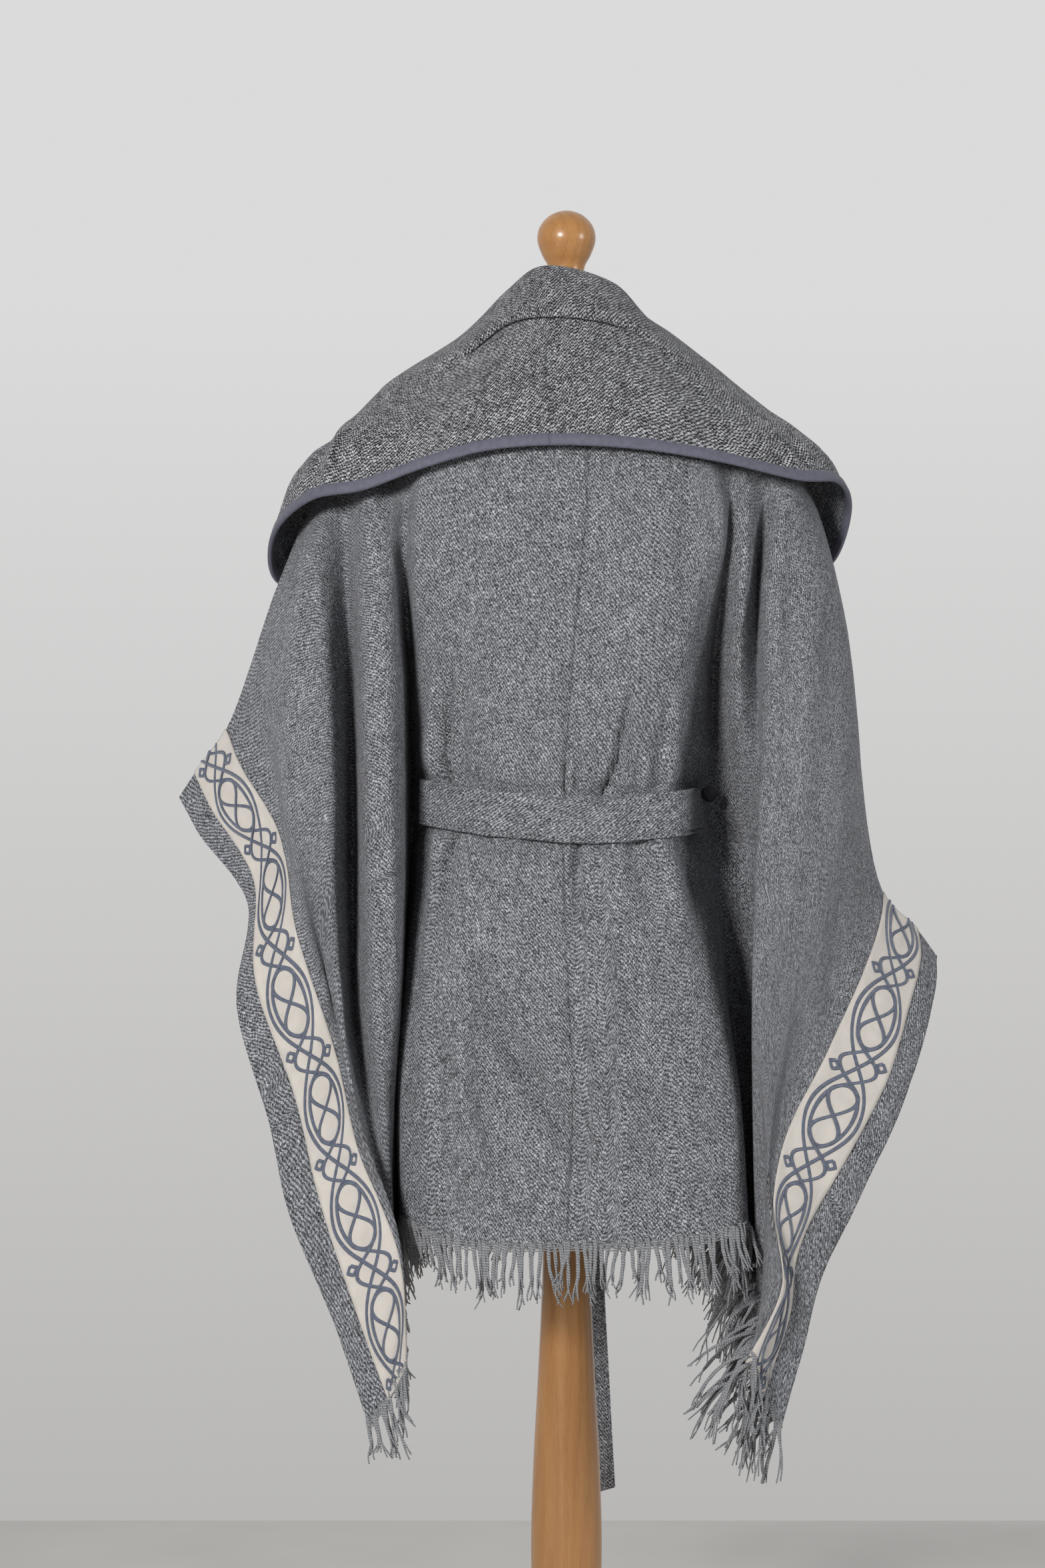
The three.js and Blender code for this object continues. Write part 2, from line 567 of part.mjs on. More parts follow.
function knot() {
  const { x, y, half } = KNOT;
  const rings = [-1, -0.8, -0.3, 0.3, 0.8, 1].map((level) => {
    const swell = Math.sqrt(1 - 0.45 * level ** 4);
    return Array.from({ length: 16 }, (_, i) => {
      const angle = (i / 16) * Math.PI * 2;
      const square = (value) => Math.sign(value) * Math.abs(value) ** 0.7;
      return new THREE.Vector3(x + half.x * swell * square(Math.cos(angle)),
        y + half.y * swell * square(Math.sin(angle)), BELT_MIDDLE + half.z * level);
    });
  });
  return ringSolid(rings);
}

// A flat tail along its spine, with its end cut aslant.
function tail(spinePoints, slant) {
  const spine = smooth(spinePoints.map(vec));
  const count = spinePoints.length;
  const rings = steps(2, count).map((t, i) => {
    const centre = spine.getPoint(t);
    const tangent = spine.getTangent(t);
    const across = new THREE.Vector3(1, 0, 0);
    const out = new THREE.Vector3().crossVectors(across, tangent).normalize();
    const drop = i === count ? slant : 0;
    const spread = TAIL_NECK.share + ((1 - TAIL_NECK.share) * t) / TAIL_NECK.length;
    const width = BELT_WIDTH * Math.min(1, spread);
    const at = (side, depth) => {
      const p = centre.clone().addScaledVector(across, (side * width) / 2);
      p.addScaledVector(out, (depth * BELT_THICK) / 2);
      p.z += side * drop;
      return p;
    };
    return [at(-1, -1), at(1, -1), at(1, 1), at(-1, 1)];
  });
  return ringSolid(rings);
}

add('belt_knot', knot(), wool);
add('belt_tail_long', tail(TAIL_LONG, 6), woolDark);
add('belt_tail_short', tail(TAIL_SHORT, -6), woolDark);

// The button sits at the top corner of the belt's right end.
function button() {
  const [, , , outerLow] = backRings.at(-2);
  const [, , endHigh] = backRings.at(-1);
  const along = endHigh.clone().sub(outerLow).setZ(0).normalize();
  const out = new THREE.Vector3(along.y, -along.x, 0);
  const centre = endHigh.clone().addScaledVector(along, -3);
  const profile = [[0, 1], [0.35, 1], [0.8, 0.82], [1, 0.3]];
  const rings = profile.map(([depth, radius]) => {
    const middle = centre.clone().addScaledVector(out, SEAM * 2 + depth * BUTTON_THICK);
    return circle(24).map(([c, s]) => middle.clone()
      .addScaledVector(along, (c * radius * BUTTON_DIAMETER) / 2)
      .add(new THREE.Vector3(0, 0, (s * radius * BUTTON_DIAMETER) / 2)));
  });
  return ringSolid(rings);
}
add('belt_button', button(), buttonCloth);

// ---- the fringe ---------------------------------------------------------------
const FRINGE_SPACING = { back: 11.5, front: 17 };
const SWAY = 3;
const CLEAR_OF_HEM = 6;      // how far a strand swings away from a steep hem below it

// A repeatable spread of values between 0 and 1.
const scatter = (k) => (Math.sin(k * 12.9898) * 43758.5453) % 1;
const spread = (k) => Math.abs(scatter(k));

// The hem as a function of the distance along it: its point, the cloth's
// normal there, the way that the cloth hangs, and the level way to its higher
// side, which is the longer the steeper the hem is.
function hemLine(panel) {
  const last = panel.grid.length - 1;
  const points = panel.grid[last];
  const hang = points.map((p, j) => p.clone().sub(panel.grid[last - 1][j]).normalize());
  const reach = [0];
  for (let j = 1; j < points.length; j += 1) {
    reach.push(reach[j - 1] + points[j].distanceTo(points[j - 1]));
  }
  const at = (distance) => {
    const j = Math.max(1, reach.findIndex((r) => r >= distance - 1e-6));
    const t = (distance - reach[j - 1]) / (reach[j] - reach[j - 1]);
    const between = (list) => list[j - 1].clone().lerp(list[j], t);
    const rise = points[j - 1].clone().sub(points[j]);
    rise.multiplyScalar(Math.sign(rise.z));
    return {
      point: between(points),
      normal: between(panel.normals[last]).normalize(),
      hang: between(hang).normalize(),
      uphill: rise.setLength(rise.z / rise.length()).setZ(0),
    };
  };
  return { length: reach.at(-1), at };
}

// A comb: the strip of knots under the hem, and four-sided strands that grow
// out of its lower face.
function fringe(panel, spacing, seed) {
  const hem = hemLine(panel);
  const count = Math.round(hem.length / spacing);
  const stops = [0];
  for (let k = 0; k < count; k += 1) {
    const middle = ((k + 0.5) * hem.length) / count;
    stops.push(middle - STRAND.width / 2, middle + STRAND.width / 2);
  }
  stops.push(hem.length);
  const positions = [];
  const index = [];
  const put = (p) => positions.push(p.x, p.y, p.z) / 3 - 1;
  const quad = (a, b, c, d) => index.push(a, b, c, a, c, d);
  const corner = ({ point, normal, hang }, drop, out) => put(
    point.clone().addScaledVector(hang, drop).addScaledVector(normal, (out * CLOTH) / 2));
  const sections = stops.map((stop) => {
    const place = hem.at(stop);
    const low = FRINGE_GAP + FRINGE_STRIP;
    return [[FRINGE_GAP, 1], [low, 1], [low, -1], [FRINGE_GAP, -1]].map(([drop, out]) => (
      corner(place, drop, out)));
  });
  const [first, final] = [sections[0], sections.at(-1)];
  quad(first[0], first[1], first[2], first[3]);
  quad(final[3], final[2], final[1], final[0]);
  sections.slice(1).forEach((right, k) => {
    const left = sections[k];
    quad(left[0], right[0], right[1], left[1]);
    quad(left[3], left[2], right[2], right[3]);
    quad(left[0], left[3], right[3], right[0]);
    let ring = [left[1], right[1], right[2], left[2]];
    if (k % 2 === 1) {
      const corners = ring.map((v) => new THREE.Vector3().fromArray(positions, v * 3));
      const root = corners.reduce((sum, p) => sum.add(p), new THREE.Vector3()).divideScalar(4);
      const length = STRAND.shortest + (STRAND.longest - STRAND.shortest) * spread(seed + k);
      const lean = hem.at((stops[k] + stops[k + 1]) / 2).uphill.multiplyScalar(CLEAR_OF_HEM);
      lean.x += scatter(seed + k) * SWAY;
      lean.y += scatter(seed - k) * SWAY * 0.6;
      for (const t of [0.45, 1]) {
        const size = 1 + (STRAND.flare - 1) * t;
        const next = corners.map((p) => {
          const q = p.clone().sub(root).multiplyScalar(size).add(root).addScaledVector(lean, t * t);
          q.z = root.z - length * t;
          return put(q);
        });
        next.forEach((v, side) => {
          const other = (side + 1) % 4;
          quad(ring[side], ring[other], next[other], v);
        });
        ring = next;
      }
    }
    quad(ring[0], ring[1], ring[2], ring[3]);
  });
  return facingOut(positions, index);
}

Object.entries(panels).forEach(([name, panel], k) => {
  const spacing = name.startsWith('back') ? FRINGE_SPACING.back : FRINGE_SPACING.front;
  add(`fringe_${name}`, fringe(panel, spacing, 40 * k + 1), wool);
});

// ---- the dress form -------------------------------------------------------------
function circle(sides) {
  return Array.from({ length: sides }, (_, i) => {
    const angle = (i / sides) * Math.PI * 2;
    return [Math.cos(angle), Math.sin(angle)];
  });
}

function torso() {
  const widths = smooth(TORSO.map((row) => new THREE.Vector3(row.half, 0, row.z)));
  const depths = smooth(TORSO.map((row) => new THREE.Vector3(row.back, row.front, row.z)));
  const rings = steps(TORSO.length, 1).map((t) => {
    const { x: half, z } = widths.getPoint(t);
    const { x: back, y: front } = depths.getPoint(t);
    return circle(24).map(([c, s]) => new THREE.Vector3(c * half, s * (s < 0 ? back : front), z));
  });
  return ringSolid(rings);
}

function turned(profile, sides) {
  return ringSolid(profile.map(({ z, r }) => (
    circle(sides).map(([c, s]) => new THREE.Vector3(c * r, s * r, z)))));
}

function smoothProfile(profile, each) {
  const curve = smooth(profile.map(({ z, r }) => new THREE.Vector3(r, 0, z)));
  return steps(profile.length, each).map((t) => {
    const { x, z } = curve.getPoint(t);
    return { z, r: x };
  });
}

add('form_torso', torso(), jersey);
const capTop = NECK_CAP.bottom + NECK_CAP.height;
add('form_neck_cap', turned([
  { z: NECK_CAP.bottom, r: NECK_CAP.radius - 1 }, { z: NECK_CAP.bottom + 3, r: NECK_CAP.radius },
  { z: capTop - 4, r: NECK_CAP.radius }, { z: capTop, r: NECK_CAP.radius - 5 },
], 24), varnished);
add('form_knob', turned(smoothProfile(KNOB, 2), 16), varnished);
add('form_pole', turned(POLE, 24), varnished);
add('form_base', turned([
  { z: 0, r: BASE.diameter / 2 - 1 }, { z: 2, r: BASE.diameter / 2 },
  { z: BASE.height - BASE.rim, r: BASE.diameter / 2 },
  { z: BASE.height - 2, r: BASE.diameter / 2 - BASE.rim },
  { z: BASE.height, r: BASE.diameter / 2 - BASE.rim * 2 },
], 32), varnished);

export default cape;
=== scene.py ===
"""The looks of the hooded cape on its dress form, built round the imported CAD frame.

Shapes are worked out in millimetres, in the frame's axes: +Z up, the wearer faces +Y.
They become metres where a mesh is made. Left and right are as the photograph shows them.
"""
import math

import bpy
import numpy as np
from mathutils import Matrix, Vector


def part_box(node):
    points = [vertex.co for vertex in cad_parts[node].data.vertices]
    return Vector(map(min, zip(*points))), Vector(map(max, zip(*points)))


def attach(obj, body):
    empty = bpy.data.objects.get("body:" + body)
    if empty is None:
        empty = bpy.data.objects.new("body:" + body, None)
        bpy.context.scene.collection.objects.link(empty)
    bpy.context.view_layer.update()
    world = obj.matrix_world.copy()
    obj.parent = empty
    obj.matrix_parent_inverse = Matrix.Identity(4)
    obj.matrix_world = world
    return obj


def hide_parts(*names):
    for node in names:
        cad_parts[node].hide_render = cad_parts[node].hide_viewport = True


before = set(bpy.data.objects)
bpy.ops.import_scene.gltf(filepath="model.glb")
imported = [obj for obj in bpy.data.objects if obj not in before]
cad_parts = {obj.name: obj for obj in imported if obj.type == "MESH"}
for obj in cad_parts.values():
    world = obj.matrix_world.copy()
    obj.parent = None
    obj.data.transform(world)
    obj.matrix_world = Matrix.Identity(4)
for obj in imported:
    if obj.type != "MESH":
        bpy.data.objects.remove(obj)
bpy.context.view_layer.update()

MM = 0.001
SIDES = ("left", "right")

# ---- sizes -------------------------------------------------------------------
CLOTH = 2.0
SEAM = 0.3
BAND_THICK = 1.0
BELT_WIDTH = 43.0
BELT_THICK = 4.4            # a little more than the CAD's, so that its edges show
BINDING_REACH = 10.0
BINDING_THICK = 0.9
LEVELS = np.array([0, 0.06, 0.175, 0.335, 0.53, 0.675, 0.83, 1])

# A row is one fold, from the centre back out to the selvedge: its point on the
# over-arm line, the height of its hem, and its x and y at each lower level. The
# valleys beside the body are deeper than the CAD's.
BACK_LEFT = [
    ([15, -66, 1418], 576, [17, 18, 6, -4, -2, 4, -2], [-92, -122, -122, -106, -134, -146, -150]),
    ([-45, -52, 1414], 575,
     [-49, -54, -60, -62, -66, -68, -66], [-86, -124, -120, -103, -133, -133, -144]),
    ([-80, -4, 1400], 580,
     [-92, -112, -106, -104, -118, -117, -109], [-78, -114, -104, -80, -118, -138, -144]),
    ([-112, 0, 1384], 592,
     [-120, -143, -135, -133, -146, -154, -149], [-72, -108, -78, -46, -64, -92, -102]),
    ([-140, 2, 1373], 560,
     [-145, -154, -150, -149, -156, -162, -160], [-58, -88, -10, 10, 6, -10, -16]),
    ([-160, 3, 1364], 548,
     [-162, -166, -162, -160, -160, -164, -168], [-48, -96, -113, -120, -122, -98, -70]),
    ([-184, 4, 1350], 538,
     [-185, -185, -181, -178, -176, -168, -160], [-58, -104, -120, -127, -130, -110, -90]),
    ([-210, 4, 1325], 526,
     [-209, -208, -205, -204, -200, -178, -164], [-36, -52, -38, -34, -56, -104, -102]),
    ([-240, 4, 1276], 513,
     [-239, -230, -220, -215, -206, -184, -164], [-52, -100, -108, -104, -118, -129, -122]),
    ([-277, 2, 1190], 498,
     [-276, -272, -250, -224, -202, -170, -159], [-42, -80, -106, -102, -114, -138, -138]),
    ([-326, 0, 1052], 474,
     [-309, -268, -249, -213, -192, -155, -149], [-30, -72, -112, -110, -126, -154, -158]),
    ([-356, -1, 1010], 440,
     [-337, -293, -290, -252, -231, -200, -164], [-28, -78, -96, -104, -124, -150, -164]),
    ([-371, -2, 987], 416,
     [-350, -299, -308, -277, -256, -216, -181], [-26, -74, -92, -102, -124, -148, -166]),
]
BACK_RIGHT = [
    BACK_LEFT[0],
    ([50, -52, 1414], 577, [55, 68, 60, 54, 60, 62, 65], [-86, -124, -122, -103, -135, -146, -148]),
    ([84, -4, 1400], 581, [96, 116, 102, 99, 104, 114, 123], [-78, -117, -114, -92, -120, -138, -142]),
    ([120, 1, 1380], 588, [126, 141, 126, 124, 136, 152, 161], [-76, -116, -62, -12, -74, -112, -122]),
    ([150, 2, 1368], 556, [152, 150, 140, 150, 158, 166, 171], [-68, -88, -8, 22, 22, 12, 2]),
    ([170, 3, 1358], 543, [170, 164, 160, 176, 177, 179, 181], [-72, -106, -74, 6, 14, 2, -12]),
    ([188, 4, 1346], 534, [188, 180, 179, 188, 187, 185, 186], [-66, -62, -58, -50, -44, -46, -54]),
    ([206, 4, 1328], 524,
     [206, 189, 183, 174, 171, 173, 177], [-70, -102, -108, -114, -116, -102, -86]),
    ([236, 4, 1275], 508,
     [236, 215, 206, 190, 178, 184, 185], [-56, -106, -118, -120, -124, -114, -104]),
    ([266, 2, 1165], 488,
     [266, 256, 240, 207, 184, 182, 176], [-40, -84, -104, -114, -130, -130, -122]),
    ([303, 0, 896], 470, [298, 276, 242, 198, 186, 194, 163], [-26, -66, -92, -120, -142, -146, -138]),
    ([336, -1, 860], 436, [336, 320, 295, 246, 212, 203, 178], [-22, -58, -86, -114, -122, -112, -126]),
    ([355, -2, 834], 403, [352, 336, 308, 264, 234, 218, 195], [-20, -52, -82, -108, -112, -102, -118]),
]
# The fronts hang from the same over-arm points, from the neck outwards.
FRONT_LEFT = [
    (572, [-84, -66, -44, -14, -26, -36, -42], [52, 112, 124, 104, 124, 134, 138]),
    (574, [-114, -116, -110, -98, -114, -122, -126], [46, 108, 116, 86, 110, 122, 128]),
    (558, [-144, -152, -154, -151, -154, -156, -156], [38, 62, 34, 28, 30, 34, 36]),
    (548, [-162, -168, -166, -164, -163, -163, -163], [44, 84, 90, 92, 96, 80, 66]),
    (538, [-186, -188, -188, -188, -178, -164, -159], [50, 98, 112, 118, 122, 102, 86]),
    (526, [-210, -210, -212, -214, -194, -174, -166], [36, 68, 82, 90, 108, 112, 102]),
    (514, [-240, -240, -238, -222, -200, -169, -160], [46, 92, 104, 106, 120, 124, 116]),
    (500, [-276, -270, -250, -226, -208, -180, -168], [40, 76, 98, 98, 108, 132, 130]),
    (478, [-310, -276, -252, -220, -202, -172, -164], [30, 62, 92, 110, 126, 147, 146]),
    (448, [-338, -300, -282, -252, -230, -200, -180], [28, 60, 88, 100, 116, 142, 148]),
    (426, [-350, -308, -296, -272, -250, -218, -192], [26, 56, 84, 98, 114, 138, 146]),
]
FRONT_RIGHT = [
    (570, [88, 68, 46, 14, 28, 38, 46], [52, 112, 124, 104, 124, 134, 138]),
    (572, [122, 116, 108, 98, 114, 124, 130], [46, 108, 116, 86, 110, 122, 128]),
    (556, [152, 150, 148, 149, 154, 160, 164], [38, 62, 36, 28, 32, 36, 36]),
    (545, [170, 164, 162, 165, 167, 171, 175], [48, 86, 84, 66, 60, 58, 56]),
    (536, [188, 180, 177, 175, 173, 176, 181], [42, 70, 76, 80, 84, 80, 74]),
    (526, [206, 190, 184, 178, 176, 180, 176], [50, 90, 100, 106, 110, 104, 92]),
    (512, [236, 218, 210, 198, 188, 190, 184], [50, 98, 112, 116, 120, 122, 108]),
    (492, [267, 256, 240, 214, 194, 195, 184], [38, 80, 100, 110, 126, 130, 124]),
    (474, [299, 278, 246, 210, 203, 208, 186], [26, 62, 90, 118, 140, 146, 142]),
    (440, [335, 320, 296, 258, 234, 224, 204], [22, 56, 84, 110, 122, 124, 130]),
    (412, [350, 334, 310, 274, 254, 238, 214], [20, 50, 80, 108, 124, 132, 138]),
]
PER_FOLD = 13                               # columns between two folds
DOWN = {"back": 184, "front": 104}          # rows from the over-arm line to the hem
HALF = (len(BACK_LEFT) - 1) * PER_FOLD      # columns on each side of the centre back
NECK = 2 * PER_FOLD                         # columns from the centre back to the front opening

# A row is one line of the hood, from the centre back round to the front: its
# seam on the neck (or its share of the front opening), crown, lip, edge, bulge.
HOOD_LEFT = [
    ([-10, -66, 1419], [-24, -62, 1486], [-22, -98, 1438], [-17, -131, 1312], 4),
    ([-45, -52, 1415], [-54, -46, 1467], [-58, -90, 1432], [-77, -129, 1307], 5),
    ([-66, -28, 1408], [-74, -26, 1448], [-98, -78, 1404], [-134, -121, 1292], 8),
    ([-80, -4, 1401], [-86, -10, 1434], [-138, -56, 1390], [-190, -108, 1273], 12),
    (0.04, [-92, 6, 1428], [-168, -22, 1383], [-240, -82, 1266], 16),
    (0.08, [-94, 26, 1420], [-178, 12, 1376], [-282, -12, 1234], 18),
    (0.12, [-92, 52, 1410], [-170, 46, 1366], [-280, 44, 1196], 18),
    (0.165, [-86, 80, 1394], [-136, 92, 1348], [-212, 116, 1196], 12),
    (0.21, [-78, 100, 1340], [-94, 116, 1312], [-112, 138, 1240], 4),
]
HOOD_RIGHT = [
    HOOD_LEFT[0],
    ([50, -52, 1415], [44, -48, 1472], [54, -88, 1429], [60, -130, 1309], 5),
    ([70, -28, 1408], [70, -26, 1446], [100, -76, 1402], [138, -122, 1298], 8),
    ([84, -4, 1401], [90, -10, 1434], [136, -52, 1388], [216, -98, 1283], 10),
    (0.04, [96, 6, 1428], [166, -20, 1376], [256, -58, 1284], 12),
    (0.08, [98, 26, 1420], [178, 12, 1370], [272, -4, 1262], 14),
    (0.12, [96, 52, 1410], [170, 46, 1362], [258, 44, 1214], 18),
    (0.165, [90, 80, 1394], [138, 92, 1346], [206, 116, 1202], 12),
    (0.21, [82, 100, 1340], [97, 116, 1312], [112, 138, 1242], 4),
]
HOOD_PER_LINE = 16
HOOD_DOWN = 108
HOOD_CENTRE = (len(HOOD_LEFT) - 1) * HOOD_PER_LINE
NECK_AXIS = np.array([0.0, 30, 0])
ROLL_OUT = 6.0

# Creases of the back, seen from behind: a path of (x, z), then half its width and
# how far it stands out (a trough is below 0).
CREASES = [
    # beside and above the belt
    ([(-122, 1130), (-126, 1080), (-127, 1030), (-122, 1001)], 6, 3.6),
    ([(-106, 1120), (-112, 1064), (-114, 1022), (-107, 1000)], 3.4, -7.0),
    ([(-90, 1130), (-98, 1070), (-102, 1026), (-96, 998)], 10, -3.6),
    ([(-1, 1100), (-5, 1040), (-4, 996)], 4.5, -2.4),
    ([(12, 1040), (9, 1010), (8, 988)], 3.6, -4.4),
    ([(64, 1120), (54, 1060), (46, 1020), (30, 986)], 4.4, -6.2),
    ([(72, 1110), (66, 1056), (56, 1004)], 7, 4.0),
    ([(22, 1060), (20, 1020), (20, 992)], 6, 2.4),
    ([(96, 1110), (92, 1060), (86, 1024), (84, 1000)], 9, -4.6),
    ([(-60, 1080), (-62, 1030), (-60, 995)], 10, 1.6),
    ([(74, 1060), (73, 1020), (70, 992)], 6, 2.6),
    ([(-78, 1050), (-80, 990)], 8, -1.6),
    ([(112, 1060), (110, 1010), (104, 990)], 6, -5.0),
    # below the belt
    ([(-105, 952), (-111, 918), (-115, 880), (-116, 850)], 4.2, -6.0),
    ([(-120, 952), (-124, 912), (-130, 850), (-134, 790)], 6, 3.6),
    ([(9, 950), (8, 915), (6, 885), (3, 850)], 4.0, -5.6),
    ([(19, 948), (20, 900), (24, 850)], 8, 2.2),
    ([(-50, 946), (-56, 900), (-64, 830)], 12, 1.8),
    ([(64, 946), (74, 900), (90, 820)], 9, -2.6),
    ([(84, 948), (100, 900), (118, 830)], 10, 2.6),
    ([(44, 948), (50, 900), (56, 850)], 8, 1.6),
    ([(104, 948), (116, 900), (124, 850)], 7, -3.4),
    ([(-82, 948), (-86, 900)], 7, -2.2),
    # the long soft folds of the skirt and of the upper back
    ([(40, 900), (62, 780), (88, 620), (92, 570)], 15, -3.6),
    ([(-100, 880), (-64, 776), (-28, 712), (6, 664), (34, 600)], 15, -6.0),
    ([(-108, 830), (-94, 700), (-70, 600)], 14, 4.6),
    ([(-40, 850), (10, 740), (50, 650)], 15, 3.2),
    ([(-112, 800), (-110, 700), (-106, 600)], 6, -2.4),
    ([(-104, 1290), (-99, 1240), (-100, 1180)], 12, -1.6),
    ([(112, 1290), (109, 1220), (106, 1150)], 10, -1.6),
    ([(86, 1260), (80, 1180), (70, 1110)], 16, 1.6),
    ([(-60, 1240), (-66, 1160), (-70, 1100)], 18, 1.4),
    # the sleeves
    ([(-246, 1210), (-256, 1090), (-262, 980), (-250, 880)], 12, 3.6),
    ([(-226, 1240), (-230, 1120), (-226, 1000)], 9, -1.8),
    ([(-206, 1180), (-203, 1080), (-202, 960), (-200, 820)], 9, -3.4),
    ([(-190, 1260), (-190, 1130), (-188, 960), (-178, 800)], 7, 2.0),
    ([(-168, 1180), (-166, 1050), (-163, 900), (-158, 760)], 5, 2.4),
    ([(-284, 1120), (-282, 1030), (-272, 930)], 12, 2.0),
    ([(-292, 1060), (-276, 990), (-268, 900)], 9, -1.8),
    ([(-222, 860), (-206, 760), (-184, 640)], 14, 2.2),
    ([(-206, 800), (-186, 690), (-170, 600)], 9, -2.4),
    ([(196, 1240), (194, 1100), (186, 950)], 8, 2.2),
    ([(212, 1280), (206, 1150), (200, 1010), (190, 880)], 8, -2.2),
    ([(226, 1250), (226, 1130), (216, 1000), (204, 860)], 12, 2.6),
    ([(246, 1180), (248, 1080), (232, 960)], 11, -1.6),
    ([(270, 1080), (268, 980), (246, 860), (214, 740)], 14, 2.2),
    ([(176, 880), (177, 760), (181, 660)], 8, 2.4),
    ([(150, 1200), (146, 1120), (146, 1040)], 8, -3.0),
    ([(-148, 1300), (-150, 1200), (-150, 1100)], 9, -2.4),
]
# And of the fronts, which the photograph doesn't show.
FRONT_CREASES = [
    ([(-60, 1250), (-70, 1130), (-74, 1010)], 12, 2.4),
    ([(-92, 1240), (-96, 1120), (-92, 1005)], 8, -3.0),
    ([(-40, 1090), (-46, 1040), (-52, 1000)], 7, -3.2),
    ([(-52, 940), (-62, 870), (-72, 760)], 9, 3.0),
    ([(-84, 940), (-92, 880), (-100, 800)], 7, -3.4),
    ([(64, 1240), (72, 1120), (76, 1010)], 11, -2.6),
    ([(94, 1230), (98, 1110), (96, 1005)], 10, 2.6),
    ([(44, 1080), (50, 1030), (54, 1000)], 7, 2.8),
    ([(50, 940), (62, 860), (74, 740)], 10, -3.0),
    ([(86, 940), (96, 860), (104, 760)], 9, 3.0),
    ([(-250, 1200), (-258, 1090), (-256, 960)], 12, 3.0),
    ([(-196, 1230), (-194, 1080), (-186, 920)], 8, -2.4),
    ([(-276, 1060), (-262, 960), (-240, 840)], 13, -2.0),
    ([(222, 1220), (222, 1090), (212, 950)], 12, 2.8),
    ([(198, 1260), (194, 1120), (188, 980)], 8, -2.4),
    ([(262, 1080), (256, 960), (232, 830)], 13, 2.2),
    ([(-206, 800), (-190, 700), (-176, 620)], 12, 2.4),
    ([(216, 800), (206, 700), (196, 600)], 12, -2.2),
]
# Creases of the hood: the centre pleat, and the lines from the lip out to the shoulders.
HOOD_CREASES = [
    ([(-25, 1412), (-22, 1378), (-19, 1352), (-16, 1316)], 3.4, -4.6),
    ([(-14, 1400), (-11, 1372), (-10, 1346)], 5.0, 1.6),
    ([(-2, 1412), (-2, 1390), (1, 1370)], 3.2, -1.5),
    ([(-33, 1392), (-31, 1360), (-28, 1330)], 6.0, 1.3),
    ([(-216, 1352), (-232, 1310), (-236, 1278)], 7.0, 2.4),
    ([(-204, 1350), (-222, 1306), (-224, 1280)], 5.0, -1.8),
    ([(196, 1330), (206, 1308), (214, 1290)], 2.8, -2.2),
    ([(204, 1332), (216, 1310), (222, 1292)], 5.0, 1.8),
    ([(-60, 1412), (-96, 1386), (-150, 1362), (-196, 1340)], 10.0, 1.6),
    ([(-46, 1420), (-80, 1408), (-118, 1388), (-156, 1368)], 5.0, -4.2),
    ([(62, 1420), (90, 1394), (118, 1371), (144, 1356)], 5.0, -4.2),
    ([(80, 1404), (110, 1380), (150, 1352), (190, 1336)], 11.0, 2.0),
    ([(54, 1380), (90, 1352), (130, 1330)], 14.0, -1.3),
]
BODY_HALF = 150                             # the creases within this x are gathers at the belt
BACK_GAIN, FRONT_GAIN, HOOD_GAIN = 2.4, 1.5, 1.5

BELT_MIDDLE = 969.0
BELT_RISE = {"left": 11.0, "right": 5.0}
BELT_FOLDS = {"back": 3.0, "front": 1.5}    # how far it reaches, in folds
BELT_SLACK = {"back": 2.6, "front": 1.6}
TAIL_LONG = [[14, 123, 943], [19, 131, 905], [21, 143, 840], [20, 152, 740],
             [18, 156, 620], [19, 157, 500], [24, 157, 400], [30, 156, 284]]
TAIL_SHORT = [[-14, 123, 943], [-26, 131, 905], [-30, 143, 840],
              [-34, 151, 760], [-36, 154, 680], [-38, 155, 604]]

TORSO = [                                   # height, half width, depth behind and in front
    (690, 96, 82, 82), (700, 118, 98, 96), (760, 134, 112, 104), (850, 134, 112, 100),
    (960, 120, 92, 86), (1060, 122, 102, 98), (1180, 130, 108, 104), (1270, 130, 102, 88),
    (1330, 134, 72, 60), (1352, 126, 52, 44), (1372, 111, 44, 34), (1390, 78, 43, 36),
    (1410, 54, 42, 38), (1448, 47, 42, 38),
]
# Turned profiles: (radius, height).
KNOB = [(17, 1460.6), (17.5, 1496), (23.5, 1508), (28, 1522), (26, 1534), (18, 1544), (8, 1549),
        (0.6, 1550.2)]
POLE = [(30, 26.3), (26, 60), (27, 130), (32.5, 215), (34, 270), (32, 345), (27.5, 430),
        (23.5, 517), (21.5, 600), (21, 689.7)]
BASE = [(188, 0.2), (190, 2), (190, 14), (188.6, 18.5), (184, 22.5), (178, 24.2), (174, 25.8),
        (60, 26), (40, 26.1)]


# ---- curves and surfaces -------------------------------------------------------
def steps(count):
    return np.linspace(0, 1, count + 1)


def turns(count):
    return np.linspace(0, 2 * math.pi, count, endpoint=False)


